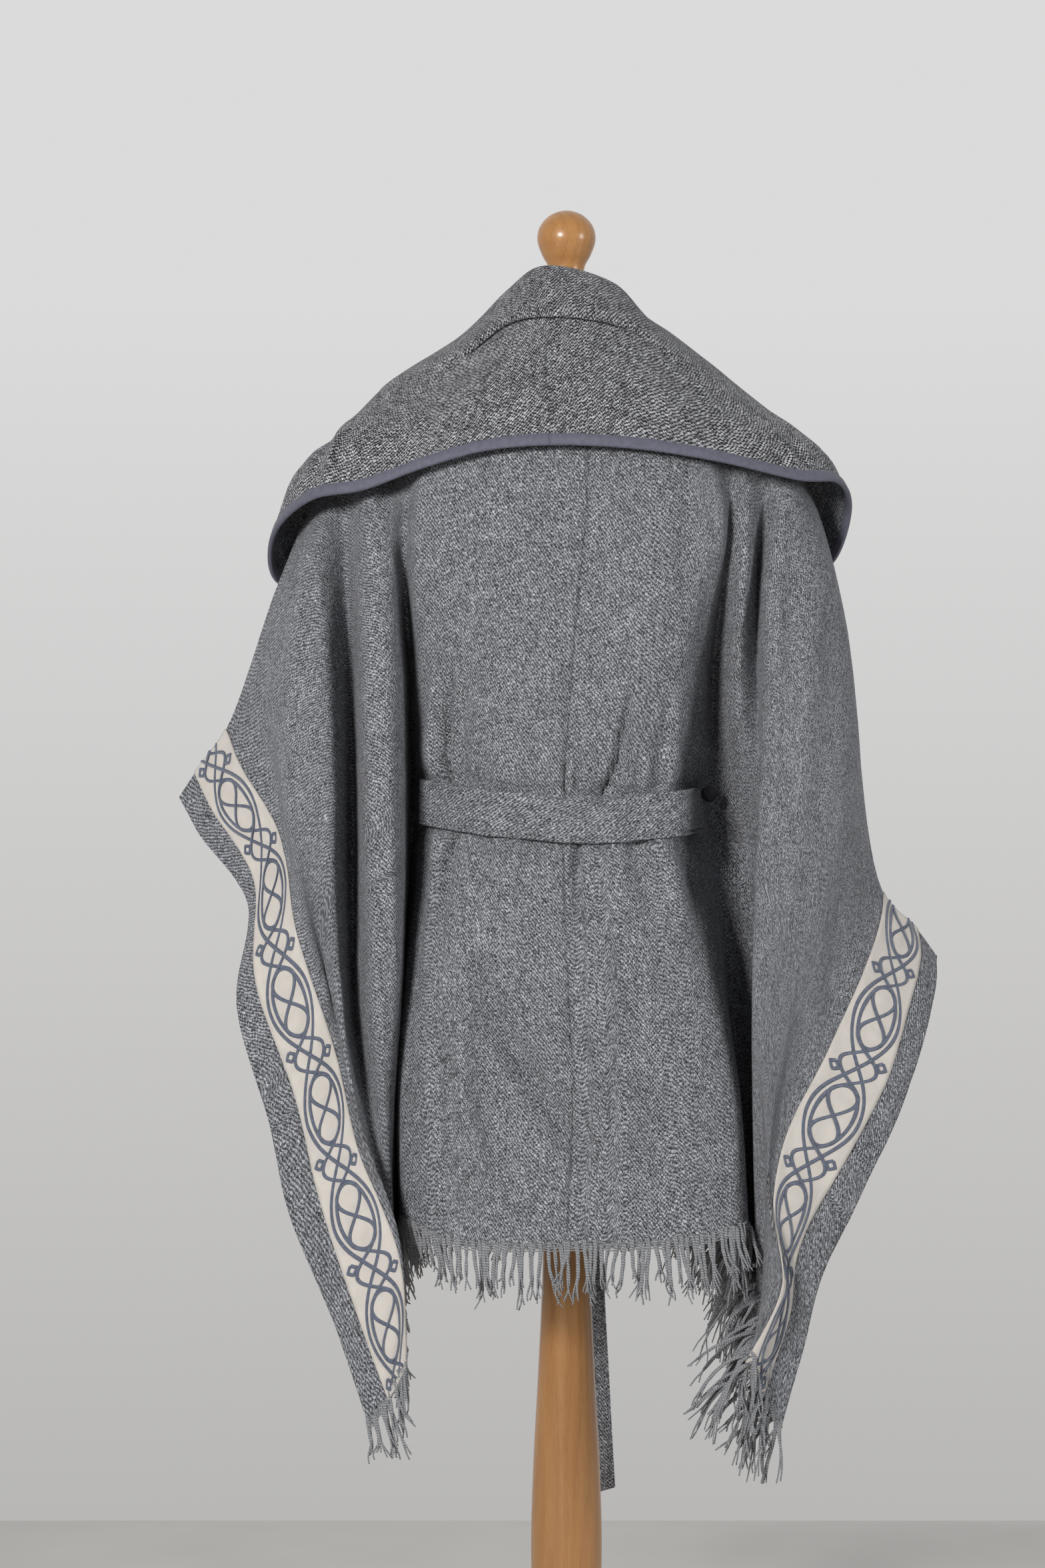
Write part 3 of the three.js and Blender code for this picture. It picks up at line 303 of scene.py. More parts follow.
def catmull(points, at):
    """Centripetal curves through points (n, k, 3), at shares (m) of their run: (m, k, 3)."""
    points = np.asarray(points, float)
    if points.ndim == 2:
        return catmull(points[:, None], at)[:, 0]
    n = len(points)
    place = np.clip(np.atleast_1d(at), 0, 1) * (n - 1)
    i = np.minimum(place.astype(int), n - 2)
    w = (place - i)[:, None, None]
    run = np.concatenate([[2 * points[0] - points[1]], points, [2 * points[-1] - points[-2]]])
    p0, p1, p2, p3 = run[i], run[i + 1], run[i + 2], run[i + 3]

    def gap(a, b):
        return np.maximum(np.sqrt(np.linalg.norm(a - b, axis=-1, keepdims=True)), 1e-4)

    d0, d1, d2 = gap(p0, p1), gap(p1, p2), gap(p2, p3)
    t1 = ((p1 - p0) / d0 - (p2 - p0) / (d0 + d1) + (p2 - p1) / d1) * d1
    t2 = ((p2 - p1) / d1 - (p3 - p1) / (d1 + d2) + (p3 - p2) / d2) * d1
    return (p1 + t1 * w + (-3 * p1 + 3 * p2 - 2 * t1 - t2) * w ** 2
            + (2 * p1 - 2 * p2 + t1 + t2) * w ** 3)


def unit(v):
    return v / np.maximum(np.linalg.norm(v, axis=-1, keepdims=True), 1e-9)


def smoothstep(low, high, x):
    t = np.clip((x - low) / (high - low), 0, 1)
    return t * t * (3 - 2 * t)


def bell(x):
    return np.exp(-x ** 2)


def fold_line(top, hem, xs, ys):
    z = top[2] + (hem - top[2]) * LEVELS[1:]
    return np.vstack([top, np.column_stack([xs, ys, z])])


def loft(lines, across, down):
    """A grid (down, across, 3) through fold lines that each have the same count of points."""
    rows = catmull(np.stack(lines, 1), steps(down))       # (down, lines, 3)
    return catmull(rows.transpose(1, 0, 2), steps(across)).transpose(1, 0, 2)


def grid_normals(grid, side):
    return unit(np.cross(np.gradient(grid, axis=1), np.gradient(grid, axis=0))) * side


def arc(grid, axis):
    """Distance along the grid's rows or columns."""
    step = np.linalg.norm(np.diff(grid, axis=axis), axis=-1)
    start = np.zeros_like(np.take(step, [0], axis=axis))
    return np.concatenate([start, np.cumsum(step, axis=axis)], axis=axis)


def run_of(line):
    return arc(line[:, None], 0)[:, 0]


def between(values, places, at):
    """Rows of values that stand at places, read off at other places."""
    return np.stack([np.interp(at, places, column) for column in values.T], -1)


def pick(grid, row, col):
    """Grid values at fractional rows and columns."""
    row = np.clip(row, 0, grid.shape[0] - 1.001)
    col = np.clip(col, 0, grid.shape[1] - 1.001)
    i, j = row.astype(int), col.astype(int)
    fi, fj = (row - i)[..., None], (col - j)[..., None]
    return ((grid[i, j] * (1 - fj) + grid[i, j + 1] * fj) * (1 - fi)
            + (grid[i + 1, j] * (1 - fj) + grid[i + 1, j + 1] * fj) * fi)


def waves(x, y, size, seed, octaves=3):
    """Smooth, repeatable unevenness between about -1 and 1, with features of that size."""
    rng = np.random.default_rng(seed)
    total = np.zeros(np.broadcast(x, y).shape)
    weight = 0.0
    for octave in range(octaves):
        scale = size / 1.9 ** octave
        amount = 0.6 ** octave
        for _ in range(5):
            angle = rng.uniform(0, 2 * math.pi)
            phase = rng.uniform(0, 2 * math.pi)
            pitch = rng.uniform(0.7, 1.3) * 2 * math.pi / (2 * scale)
            total += amount / 2.5 * np.sin(pitch * (x * math.cos(angle) + y * math.sin(angle)) + phase)
        weight += amount
    return total / weight


# ---- meshes ----------------------------------------------------------------------
def grid_faces(rows, cols, start=0):
    i, j = np.meshgrid(np.arange(rows - 1), np.arange(cols - 1), indexing="ij")
    a = start + (i * cols + j).ravel()
    return np.column_stack([a, a + cols, a + cols + 1, a + 1])


def ring_faces(m, k, start=0):
    """Quads between m closed rings of k points."""
    i, j = np.meshgrid(np.arange(m - 1), np.arange(k), indexing="ij")
    a = start + (i * k + j).ravel()
    b = start + (i * k + (j + 1) % k).ravel()
    return np.column_stack([a, b, b + k, a + k])


TURNED_OVER = [0, 3, 2, 1]


def make(name, verts, faces, materials, uv, face_material=None):
    """A smooth-shaded object from vertices in millimetres, with UVs in metres."""
    mesh = bpy.data.meshes.new(name)
    mesh.from_pydata((np.asarray(verts, float) * MM).tolist(), [], [list(map(int, f)) for f in faces])
    mesh.polygons.foreach_set("use_smooth", np.ones(len(mesh.polygons), bool))
    layer = mesh.uv_layers.new(name="UVMap")
    corner = np.zeros(len(mesh.loops), np.int32)
    mesh.loops.foreach_get("vertex_index", corner)
    layer.data.foreach_set("uv", (np.asarray(uv, float).reshape(-1, 2) * MM)[corner].ravel())
    for material in materials:
        mesh.materials.append(material)
    if face_material is not None:
        mesh.polygons.foreach_set("material_index", np.asarray(face_material, np.int32))
    mesh.update()
    obj = bpy.data.objects.new(name, mesh)
    bpy.context.scene.collection.objects.link(obj)
    return obj


def facing(verts, faces, normals):
    """Turns quads over so that they face along the vertices' normals."""
    a, b, c = (verts[faces[:, k]] for k in (0, 1, 2))
    way = np.einsum("ij,ij->i", np.cross(b - a, c - a), normals[faces[:, 0]])
    return faces if way.mean() > 0 else faces[:, ::-1]


def shell(name, mid, normals, faces, uv, materials, thick=CLOTH, lift=0.0, outer_index=0):
    """A closed sheet of even thickness round a middle surface.

    materials are the outer face's, the inner face's and any more that outer_index names."""
    mid, normals, uv = mid.reshape(-1, 3), normals.reshape(-1, 3), uv.reshape(-1, 2)
    count = len(mid)
    faces = facing(mid, faces, normals)
    verts = np.vstack([mid + normals * (lift + thick / 2), mid + normals * (lift - thick / 2)])
    pairs = np.vstack([faces[:, [k, (k + 1) % 4]] for k in range(4)])
    keys = pairs[:, 0].astype(np.int64) * count + pairs[:, 1]
    back = pairs[:, 1].astype(np.int64) * count + pairs[:, 0]
    border = pairs[~np.isin(keys, back)]
    rim = np.column_stack([border[:, 0], border[:, 0] + count, border[:, 1] + count, border[:, 1]])
    outer = np.zeros(len(faces), int) + outer_index
    index = np.concatenate([outer, np.ones(len(faces), int), np.zeros(len(rim), int)])
    return make(name, verts, np.vstack([faces, faces[:, ::-1] + count, rim]), materials,
                np.vstack([uv, uv]), index)


def rings_mesh(name, rings, material, uv=None):
    """A solid through rings (m, k, 3), with flat ends."""
    rings = np.asarray(rings, float)
    m, k = rings.shape[:2]
    faces = ring_faces(m, k)
    verts = rings.reshape(-1, 3)
    a, b, _, d = (verts[faces[:, c]] for c in range(4))
    out = a - rings.mean(1)[faces[:, 0] // k]
    first, last = list(range(k)), [(m - 1) * k + q for q in range(k)]
    if np.einsum("ij,ij->i", out, np.cross(b - a, d - a)).mean() < 0:
        faces, last = faces[:, ::-1], last[::-1]
    else:
        first = first[::-1]
    if uv is None:
        around = arc(np.concatenate([rings, rings[:, :1]], 1), 1)[:, :-1]
        uv = np.stack([around, arc(rings, 0)], -1)
    return make(name, verts, faces.tolist() + [first, last], [material], uv)


# ---- materials -----------------------------------------------------------------------
class Value:
    """A number that nodes work out. Signs between values add the nodes for them."""

    def __init__(self, nodes, socket):
        self.nodes, self.socket = nodes, socket


for sign, kind in (("add", "ADD"), ("sub", "SUBTRACT"), ("mul", "MULTIPLY"), ("truediv", "DIVIDE"),
                   ("pow", "POWER")):
    setattr(Value, f"__{sign}__", lambda a, b, kind=kind: a.nodes.math(kind, a, b))
    setattr(Value, f"__r{sign}__", lambda a, b, kind=kind: a.nodes.math(kind, b, a))
for sign, kind in (("__abs__", "ABSOLUTE"), ("floor", "FLOOR"), ("fract", "FRACT"), ("sine", "SINE")):
    setattr(Value, sign, lambda a, kind=kind: a.nodes.math(kind, a))


class Nodes:
    """Writes the nodes of the world or of a material."""

    def __init__(self, owner):
        owner.use_nodes = True
        self.owner, self.tree = owner, owner.node_tree

    def put(self, value, socket):
        if isinstance(value, Value):
            self.tree.links.new(value.socket, socket)
        else:
            socket.default_value = value

    def node(self, kind, inputs=(), output=0, **settings):
        """The output of a new node, with its first inputs or its named ones filled."""
        node = self.tree.nodes.new(kind)
        for key, value in settings.items():
            setattr(node, key, value)
        keys = inputs if isinstance(inputs, dict) else range(len(inputs))
        for key in keys:
            self.put(inputs[key], node.inputs[key])
        return Value(self, node.outputs[output])

    def math(self, operation, *values):
        return self.node("ShaderNodeMath", values, operation=operation)

    def mix(self, share, a, b, blend="MIX"):
        a, b = (colour if isinstance(colour, Value) else (*colour, 1.0) for colour in (a, b))
        return self.node("ShaderNodeMix", {0: share, 6: a, 7: b}, 2, data_type="RGBA", blend_type=blend)

    def shaded(self, colour, tone):
        tone = self.join(tone, tone, tone) if isinstance(tone, Value) else (tone,) * 3
        return self.mix(1.0, colour, tone, "MULTIPLY")

    def split(self, vector, count=3, scale=1000.0):
        """A vector's numbers, from metres to millimetres."""
        first = self.node("ShaderNodeSeparateXYZ", [vector]).socket.node
        return [Value(self, first.outputs[k]) * scale for k in range(count)]

    def uv(self):
        return self.split(self.node("ShaderNodeUVMap"), 2)

    def join(self, x, y, z=0.0):
        return self.node("ShaderNodeCombineXYZ", (x, y, z))

    def noise(self, vector, scale, detail=2.0, roughness=0.5):
        return self.node("ShaderNodeTexNoise", {"Vector": vector, "Scale": scale, "Detail": detail,
                                                "Roughness": roughness}, "Fac")

    def white(self, vector):
        return self.node("ShaderNodeTexWhiteNoise", {"Vector": vector}, "Value", noise_dimensions="2D")

    def span(self, value, low, high, to_low, to_high):
        return self.node("ShaderNodeMapRange", (value, low, high, to_low, to_high))

    def patches(self, vector, scale, detail, low, high, roughness=0.5):
        """Noise, spread between two numbers."""
        return self.span(self.noise(vector, scale, detail, roughness), 0.3, 0.7, low, high)


class Material(Nodes):
    def __init__(self, name):
        super().__init__(bpy.data.materials.new(name))
        self.tree.nodes.clear()

    def finish(self, colour, roughness, height=None, distance=0.3, strength=0.6, **inputs):
        """The material, with its relief's height and the distance it stands for."""
        inputs = {key.replace("_", " "): value for key, value in inputs.items()}
        inputs.update({"Base Color": colour, "Roughness": roughness})
        if height is not None:
            inputs["Normal"] = self.node("ShaderNodeBump", {
                "Strength": strength, "Distance": distance * MM, "Height": height})
        output = self.tree.nodes.new("ShaderNodeOutputMaterial")
        self.put(self.node("ShaderNodeBsdfPrincipled", inputs), output.inputs[0])
        return self.owner


def woven(name, light, dark, yarn=0.95, twill=True, angle=0.0, lift=0.3, wale=0.09, seam=False):
    """Wool in a two-and-two twill, or plain: light ends over dark picks.

    yarn is its width, lift its relief in millimetres, wale how much the slanted ribs show."""
    n = Material(name)
    u, v = across_cloth, down_cloth = n.uv()
    if angle:
        c, s = math.cos(math.radians(angle)), math.sin(math.radians(angle))
        u, v = u * c + v * s, v * c - u * s
    place = n.join(u, v)
    # yarns are never quite straight, nor even
    sway = (n.noise(place, 0.12, 2.0) - 0.5) * 5.0
    wobble = (n.noise(place, 0.6, 1.0) - 0.5) * 2.2
    across = (u + (sway + wobble)) / (yarn * 0.84)
    along = (v + wobble * 1.4) / (yarn * 1.1)
    i, j = across.floor(), along.floor()
    jitter, repeat = (1.1, 4.0) if twill else (0.5, 2.0)
    step = (along + (i + n.white(n.join(i, 3.0)) * jitter)) / repeat
    turn = step.fract()
    over = n.math("LESS_THAN", turn, 0.52)
    end = abs(turn / 0.26 - 1.0) ** 4.0
    off = across.fract() - 0.5
    warp = (1.0 - off * off * 3.4) * (1.0 - end * 0.45)
    weft = n.white(n.join(i, j)) * 0.6
    relief = over * warp + (1.0 - over) * weft
    # each float has its own shade, and so have short runs of each yarn
    speck = n.white(n.join(i, (step + over * 0.5).floor()))
    run = n.white(n.join((across * 0.5).floor(), (along * 0.5).floor()))
    heathered = n.span(speck * 0.45 + run * 0.55, 0.1, 0.9, 0.44, 1.56)
    slub = n.span(n.noise(n.join(u * 0.8, v * 0.3), 1.0, 1.0), 0.64, 0.76, 1.0, 1.4)
    fibre = n.patches(n.join(u * 1.3, v * 0.7), 1.0, 3.0, 0.74, 1.26, roughness=0.7)
    cloud = n.patches(place, 0.035, 3.0, 0.90, 1.10)
    slant = (u + sway * 0.9) + v * 0.5
    ribs = (slant * (2 * math.pi / 6.4)).sine() * n.span(n.noise(place, 0.05, 1.0), 0.4, 0.62, 0.1, 1.0)
    streak = n.patches(n.join(slant * 0.5, v * 0.06), 1.0, 2.0, 0.91, 1.09) + ribs * wale
    # the relief's low parts, between and beside the yarns, are darkened as painted shade, and the yarns'
    # tops are slightly lightened as a painted highlight
    shade = (heathered * fibre) * (cloud * streak) * slub * n.span(relief, 0.0, 1.0, 0.56, 1.12)
    if seam:                                   # painted shade along the stitched join: a darker line where the cloth's u is 0, standing in for the shade of its groove
        from_seam = abs(across_cloth + (n.noise(n.join(0.0, down_cloth), 0.035, 2.0) - 0.5) * 7.0)
        patchy = n.span(n.noise(n.join(0.0, v), 0.05, 2.0), 0.35, 0.65, 0.58, 0.95)
        shade = shade * n.span(from_seam, 0.35, 1.3, patchy, 1.0)
    return n.finish(n.shaded(n.mix(over, dark, light), shade), 0.92, relief + fibre * 0.5, lift, 0.7,
                    Sheen_Weight=0.12, Sheen_Roughness=0.5, Sheen_Tint=(0.78, 0.8, 0.86, 1.0),
                    Specular_IOR_Level=0.12)


def tape_material():
    n = Material("bias_tape")
    u, v = n.uv()
    rub = n.patches(n.join(u, v), 0.18, 3.0, 0.86, 1.14)
    return n.finish(n.shaded((0.115, 0.117, 0.158), rub), 0.62, ((u + v) * 9.0).sine() * 0.3 + rub,
                    0.2, 0.4, Sheen_Weight=0.1, Specular_IOR_Level=0.35)


def ribbon_material():
    n = Material("cream_ribbon")
    u, v = n.uv()
    threads = (u * 9.5).sine() * (v * 9.5).sine()
    tone = n.patches(n.join(u, v), 0.06, 3.0, 0.93, 1.05)
    colour = n.mix(n.span(threads, -1.0, 1.0, 0.0, 1.0), (0.56, 0.525, 0.48), (0.7, 0.665, 0.62))
    return n.finish(n.shaded(colour, tone), 0.72, threads, 0.15, Sheen_Weight=0.1,
                    Specular_IOR_Level=0.3)


def embroidery_material():
    n = Material("slate_embroidery")
    u, v = n.uv()
    stitch = ((v + u * 0.6) * 10.5).sine()
    tone = n.patches(n.join(u, v), 0.3, 2.0, 0.75, 1.25)
    colour = n.mix(n.span(stitch, -1.0, 1.0, 0.0, 1.0), (0.07, 0.086, 0.13), (0.165, 0.19, 0.26))
    return n.finish(n.shaded(colour, tone), 0.42, stitch, 0.2, Sheen_Weight=0.2,
                    Specular_IOR_Level=0.5)


def yarn_material():
    n = Material("fringe_yarn")
    u, v = n.uv()
    ply = (v * 2.6 + u * 1.6).sine()
    fuzz = n.patches(n.join(u * 2.0, v * 0.5), 1.0, 3.0, 0.7, 1.3)
    colour = n.mix(n.span(ply, -1.0, 1.0, 0.0, 1.0), (0.16, 0.165, 0.178), (0.34, 0.348, 0.365))
    return n.finish(n.shaded(colour, fuzz), 0.92, ply + fuzz, Sheen_Weight=0.25, Sheen_Roughness=0.5,
                    Specular_IOR_Level=0.15)


def wood_material(name, shade):
    n = Material(name)
    x, y, z = n.split(n.node("ShaderNodeTexCoord", output="Object"))
    bend = n.noise(n.join(x, y, z * 0.1), 0.02, 2.0) * 60.0
    rings = (((x + bend) + y * 0.35) * 0.5).sine()
    grain = n.noise(n.join(x, y, z * 0.035), 0.9, 3.0, 0.6)
    fleck = n.noise(n.join(x * 1.6, y * 1.6, z * 0.25), 1.2, 1.0)
    colour = n.mix(n.span(rings, -1.0, 1.0, 0.15, 0.6), (0.47, 0.232, 0.082), (0.355, 0.158, 0.052))
    colour = n.mix(n.span(grain, 0.35, 0.7, 0.0, 0.5), colour, (0.55, 0.295, 0.118))
    colour = n.mix(n.span(fleck, 0.62, 0.72, 0.0, 0.45), colour, (0.30, 0.135, 0.05))
    return n.finish(n.shaded(colour, shade), n.span(grain, 0.3, 0.7, 0.28, 0.4), grain, 0.1, 0.15,
                    Coat_Weight=0.3, Coat_Roughness=0.14, Specular_IOR_Level=0.4)


def jersey_material():
    n = Material("form_jersey")
    u, v = n.uv()
    rib = (u * 4.2).sine()
    knit = rib + (v * 5.0 + rib * 1.2).sine()
    tone = n.patches(n.join(u, v), 0.03, 3.0, 0.92, 1.06)
    colour = n.mix(n.span(knit, -2.0, 2.0, 0.0, 1.0), (0.48, 0.44, 0.38), (0.6, 0.55, 0.48))
    return n.finish(n.shaded(colour, tone), 0.88, knit, strength=0.4, Sheen_Weight=0.15,
                    Specular_IOR_Level=0.2)


LIGHT_YARN = (0.335, 0.345, 0.37)
DARK_YARN = (0.088, 0.092, 0.104)
wool = woven("herringbone_wool", LIGHT_YARN, DARK_YARN, seam=True)
wool_hood = {side: woven("hood_wool_" + side, LIGHT_YARN, DARK_YARN, angle=angle, seam=True)
             for side, angle in (("left", -34), ("right", 34))}
wool_reverse = woven("wool_reverse", (0.34, 0.345, 0.36), (0.03, 0.031, 0.036), yarn=1.7,
                     twill=False, wale=0.0)
wool_selvedge = woven("selvedge_wool", LIGHT_YARN, DARK_YARN, yarn=1.1, lift=0.4, wale=0.0)
wool_belt = woven("belt_wool", (0.325, 0.335, 0.36), (0.085, 0.089, 0.1), angle=90, wale=0.10)
button_cloth = woven("button_cover", (0.036, 0.037, 0.044), (0.012, 0.012, 0.015), yarn=0.8,
                     twill=False, lift=0.15, wale=0.0)
tape, ribbon, embroidery = tape_material(), ribbon_material(), embroidery_material()
yarn, jersey = yarn_material(), jersey_material()
wood = wood_material("varnished_beech", 1.0)
# the pole and base get the same wood made 0.84 times as dark: painted shade
wood_shaded_stand = wood_material("varnished_beech_shaded_stand", 0.84)


# ---- the two lengths of cloth ----------------------------------------------------------
def near_path(x, z, path):
    """Each point's distance to a path, and how many of the path's legs lie before it."""
    best = np.full(x.shape, 1e9)
    place = np.zeros(x.shape)
    for k in range(len(path) - 1):
        way = path[k + 1] - path[k]
        t = np.clip(((x - path[k, 0]) * way[0] + (z - path[k, 1]) * way[1]) / (way @ way), 0, 1)
        away = np.hypot(x - path[k, 0] - t * way[0], z - path[k, 1] - t * way[1])
        place = np.where(away < best, k + t, place)
        best = np.minimum(best, away)
    return best, place


def crease_offsets(grid, creases, gain):
    """How far each point of a grid moves out, from all the creases."""
    total = np.zeros(grid.shape[:2])
    for path, width, depth in creases:
        path = np.array(path, float)
        best, place = near_path(grid[..., 0], grid[..., 2], path)
        run = run_of(path)
        share = np.interp(place, np.arange(len(path)), run) / run[-1]
        fade = smoothstep(0.0, 0.25, share) * (1 - smoothstep(0.7, 1.0, share))
        if abs(path[0, 0]) < BODY_HALF:        # gathers are deeper, and deepest beside the belt
            depth *= gain
            if 930 < path[0, 1] < 960:
                fade = 1 - smoothstep(0.2, 1.0, share)
            elif 980 < path[-1, 1] < 1006:
                fade = smoothstep(0.0, 0.65, share)
        total += depth * np.exp(-(best / width) ** 2 * 1.6) * fade
    return total


def belt_line(x):
    """The height of the belt's middle line, as it lies across the back."""
    left, right = np.clip(-x / 137, 0, 1), np.clip(x / 137, 0, 1)
    return 968.0 + 16.0 * left ** 1.7 + 9.0 * right ** 2 - 2.0 * bell((x - 25) / 40)


def belt_flat(x, z):
    """0 behind the belt, where the cloth is pressed flat, and 1 away from it."""
    return 1 - (1 - smoothstep(16, 25, np.abs(z - belt_line(x)))) * smoothstep(158, 146, np.abs(x))


def blouse(x, z):
    """The cloth bellies out a little above and below the belt."""
    up = z - belt_line(x)
    return smoothstep(150, 128, np.abs(x)) * (4.0 * bell((up - 46) / 16) + 2.6 * bell((up + 44) / 15))


def drawn_in(x, z):
    """And it is drawn in along both edges of the belt."""
    return 3.2 * smoothstep(150, 132, np.abs(x)) * bell((np.abs(z - belt_line(x)) - 23) / 6)


def seam_groove(grid, column, depth, width=2.6):
    """A sewn line down one column: a narrow groove with a low welt beside it."""
    away = np.abs(arc(grid, 1) - arc(grid, 1)[:, [column]])
    return -depth * bell(away / width) + 0.45 * depth * bell((away - 2.6 * width) / width)


def back_panels():
    """Both backs in one grid: creased, plain, and the plain one's normals."""
    lines = [fold_line(*row) for row in BACK_LEFT[::-1] + BACK_RIGHT[1:]]
    plain = loft(lines, 2 * HALF, DOWN["back"])
    normals = grid_normals(plain, -1)
    x, z = plain[..., 0], plain[..., 2]
    away = crease_offsets(plain, CREASES, BACK_GAIN) + blouse(x, z)
    away += 1.9 * waves(x, z * 0.3, 27, 3) * smoothstep(1330, 1250, z) + 0.35 * waves(x, z, 9, 5)
    away *= belt_flat(x, z) * smoothstep(1400, 1330, z) * np.clip(0.35 - normals[..., 1], 0.25, 1)
    away -= drawn_in(x, z)
    away += (seam_groove(plain, HALF, 0.10) * smoothstep(1420, 1380, z)
             * (1 + 0.7 * waves(z, z * 0, 40, 9)))
    # a gather goes in from behind, also where the cloth is already turning away
    return plain + unit(normals + (0, -0.9, 0)) * away[..., None], plain, normals


def front_panel(table, tops, side, first_row):
    lines = [fold_line(top[0], *row) for top, row in zip(tops[2:], table)]
    plain = loft(lines, (len(table) - 1) * PER_FOLD, DOWN["front"])
    plain[0] = first_row
    normals = grid_normals(plain, side)
    x, z = plain[..., 0], plain[..., 2]
    away = crease_offsets(plain, FRONT_CREASES, FRONT_GAIN) * np.clip(0.35 + normals[..., 1], 0.25, 1)
    away += 1.0 * waves(x, z * 0.35, 26, 11) + 0.35 * waves(x, z, 9, 12)
    away *= smoothstep(15, 23, np.abs(z - 971)) * smoothstep(0.0, 0.08, steps(DOWN["front"]))[:, None]
    return {"grid": plain + normals * away[..., None], "base": plain, "normals": normals}


def cloth_panels():
    back, plain, normals = back_panels()
    panels = {}
    for side, way, table, tops in (("left", -1, FRONT_LEFT, BACK_LEFT),
                                   ("right", 1, FRONT_RIGHT, BACK_RIGHT)):
        first_row = plain[0, HALF + way * NECK::way]
        panels["front_" + side] = front_panel(table, tops, way, first_row)
    for side, way in (("left", -1), ("right", 1)):
        cut = slice(HALF, None, way)
        panels["back_" + side] = {"grid": back[:, cut], "base": plain[:, cut], "normals": normals[:, cut]}
    for side in SIDES:
        back_part, front = panels["back_" + side], panels["front_" + side]
        back_part["grid"][0, NECK:] = front["grid"][0]
        common = unit(back_part["normals"][0, NECK:] + front["normals"][0])
        for k in range(6):                      # the two stretches turn smoothly over the arm
            share = (1 - k / 6) ** 2
            for part, cut in ((back_part, slice(NECK, None)), (front, slice(0, None))):
                part["normals"][k, cut] = unit(part["normals"][k, cut] * (1 - share) + common * share)
    return panels


def panel_uv(grid):
    """u across the cloth and v down it, in millimetres, with the yarns along the folds."""
    across = arc(grid, 1)
    return np.stack([0.6 * across.mean(0)[None, :] + 0.4 * across, arc(grid, 0)], -1)


def length_piece(side):
    """One length of cloth, from its back hem over the arm to its front hem."""
    back, front = panels["back_" + side], panels["front_" + side]
    (rows_b, cols_b), (rows_f, cols_f) = back["grid"].shape[:2], front["grid"].shape[:2]
    back_uv, front_uv = panel_uv(back["grid"]), panel_uv(front["grid"])
    front_uv[..., 1] *= -1
    front_uv[..., 0] += back_uv[0, NECK, 0]
    mid, normals, uv = (np.vstack([a.reshape(-1, a.shape[-1]), b.reshape(-1, b.shape[-1])]) for a, b in (
        (back["grid"], front["grid"]), (back["normals"], front["normals"]), (back_uv, front_uv)))
    if side == "right":
        uv[:, 0] *= -1
    start = rows_b * cols_b
    faces_b, faces_f = grid_faces(rows_b, cols_b), grid_faces(rows_f, cols_f, start)
    edge = cols_b - 1 - PER_FOLD
    selvedge = np.concatenate([faces_b[:, 0] % cols_b >= edge,
                               (faces_f[:, 0] - start) % cols_f >= edge - NECK])
    # the front's first row is the back's, from the neck out
    number = np.arange(len(mid))
    number[start:start + cols_f] = NECK + np.arange(cols_f)
    # the two grids are wound opposite ways, so each is turned to face out
    faces = np.vstack([facing(mid, faces_b, normals), facing(mid, number[faces_f], normals)])
    used, faces = np.unique(faces, return_inverse=True)
    return shell(f"cape_length_{side}", mid[used], normals[used], faces.reshape(-1, 4), uv[used],
                 [wool, wool_reverse, wool_selvedge], outer_index=np.where(selvedge, 2, 0))


panels = cloth_panels()
lengths = {side: length_piece(side) for side in SIDES}


# ---- the hood ------------------------------------------------------------------------------
def hood_line(row, opening):
    seam, crown, lip, edge, bulge = row
    crown, lip, edge = (np.array(p, float) for p in (crown, lip, edge))
    outward = (lip + edge) / 2 - NECK_AXIS
    outward[2] = 0
    outward = unit(outward)
    if isinstance(seam, float):                 # on the front opening
        seam = catmull(opening, [seam])[0]
        seam[0] -= np.sign(seam[0]) * (CLOTH / 2 + SEAM * 2)
    else:
        seam = np.array(seam, float)
    seam[2] += SEAM * 3
    depth = smoothstep(122, 84, abs(lip[0]))

    def beside(inward, up, plain):
        rolled = lip - outward * inward + (0, 0, up)
        return rolled * depth + (lip + (edge - lip) * plain + outward * plain * bulge * 1.6) * (1 - depth)

    # the roll overhangs: the cloth turns under at the lip, goes up behind it and comes down
    under, tuck, turn = beside(2.6, -2.8, 0.05), beside(6.0, 2.4, 0.12), beside(9.5, 0.6, 0.21)
    return np.array([seam, seam + (crown - seam) * 0.55, crown,
                     (crown + lip) / 2 + outward * ROLL_OUT, lip, under, tuck, turn,
                     (turn + edge) / 2 + outward * bulge, edge])


def hood_offsets(grid):
    total = np.zeros(grid.shape[:2])
    for path, width, depth in HOOD_CREASES:
        best, place = near_path(grid[..., 0], grid[..., 2], np.array(path, float))
        share = place / (len(path) - 1)
        fade = smoothstep(0.0, 0.3, share) * (1 - smoothstep(0.75, 1.0, share))
        total += HOOD_GAIN * depth * np.exp(-(best / width) ** 2 * 1.6) * fade
    return total


def hood_grid():
    lines = []
    for table, top, front in ((HOOD_LEFT[::-1], BACK_LEFT[2], FRONT_LEFT[0]),
                              (HOOD_RIGHT[1:], BACK_RIGHT[2], FRONT_RIGHT[0])):
        lines += [hood_line(row, fold_line(top[0], *front)) for row in table]
    grid = loft(lines, 2 * HOOD_CENTRE, HOOD_DOWN)
    normals = grid_normals(grid, 1)
    down = steps(HOOD_DOWN)[:, None]
    # creases only where the hood falls, outside and behind
    falls = smoothstep(0.785, 0.83, down) * (1 - smoothstep(0.95, 1.0, down))
    behind = smoothstep(20, -20, grid[..., 1])
    around, z = grid[..., 0] + grid[..., 1], grid[..., 2]
    away = hood_offsets(grid) * falls * behind
    away += (0.9 * waves(around, z, 22, 21) + 0.3 * waves(around, z, 8, 22)) * falls
    away += seam_groove(grid, HOOD_CENTRE, 0.16, 2.2) * smoothstep(0.3, 0.5, down)
    return grid + normals * away[..., None], normals


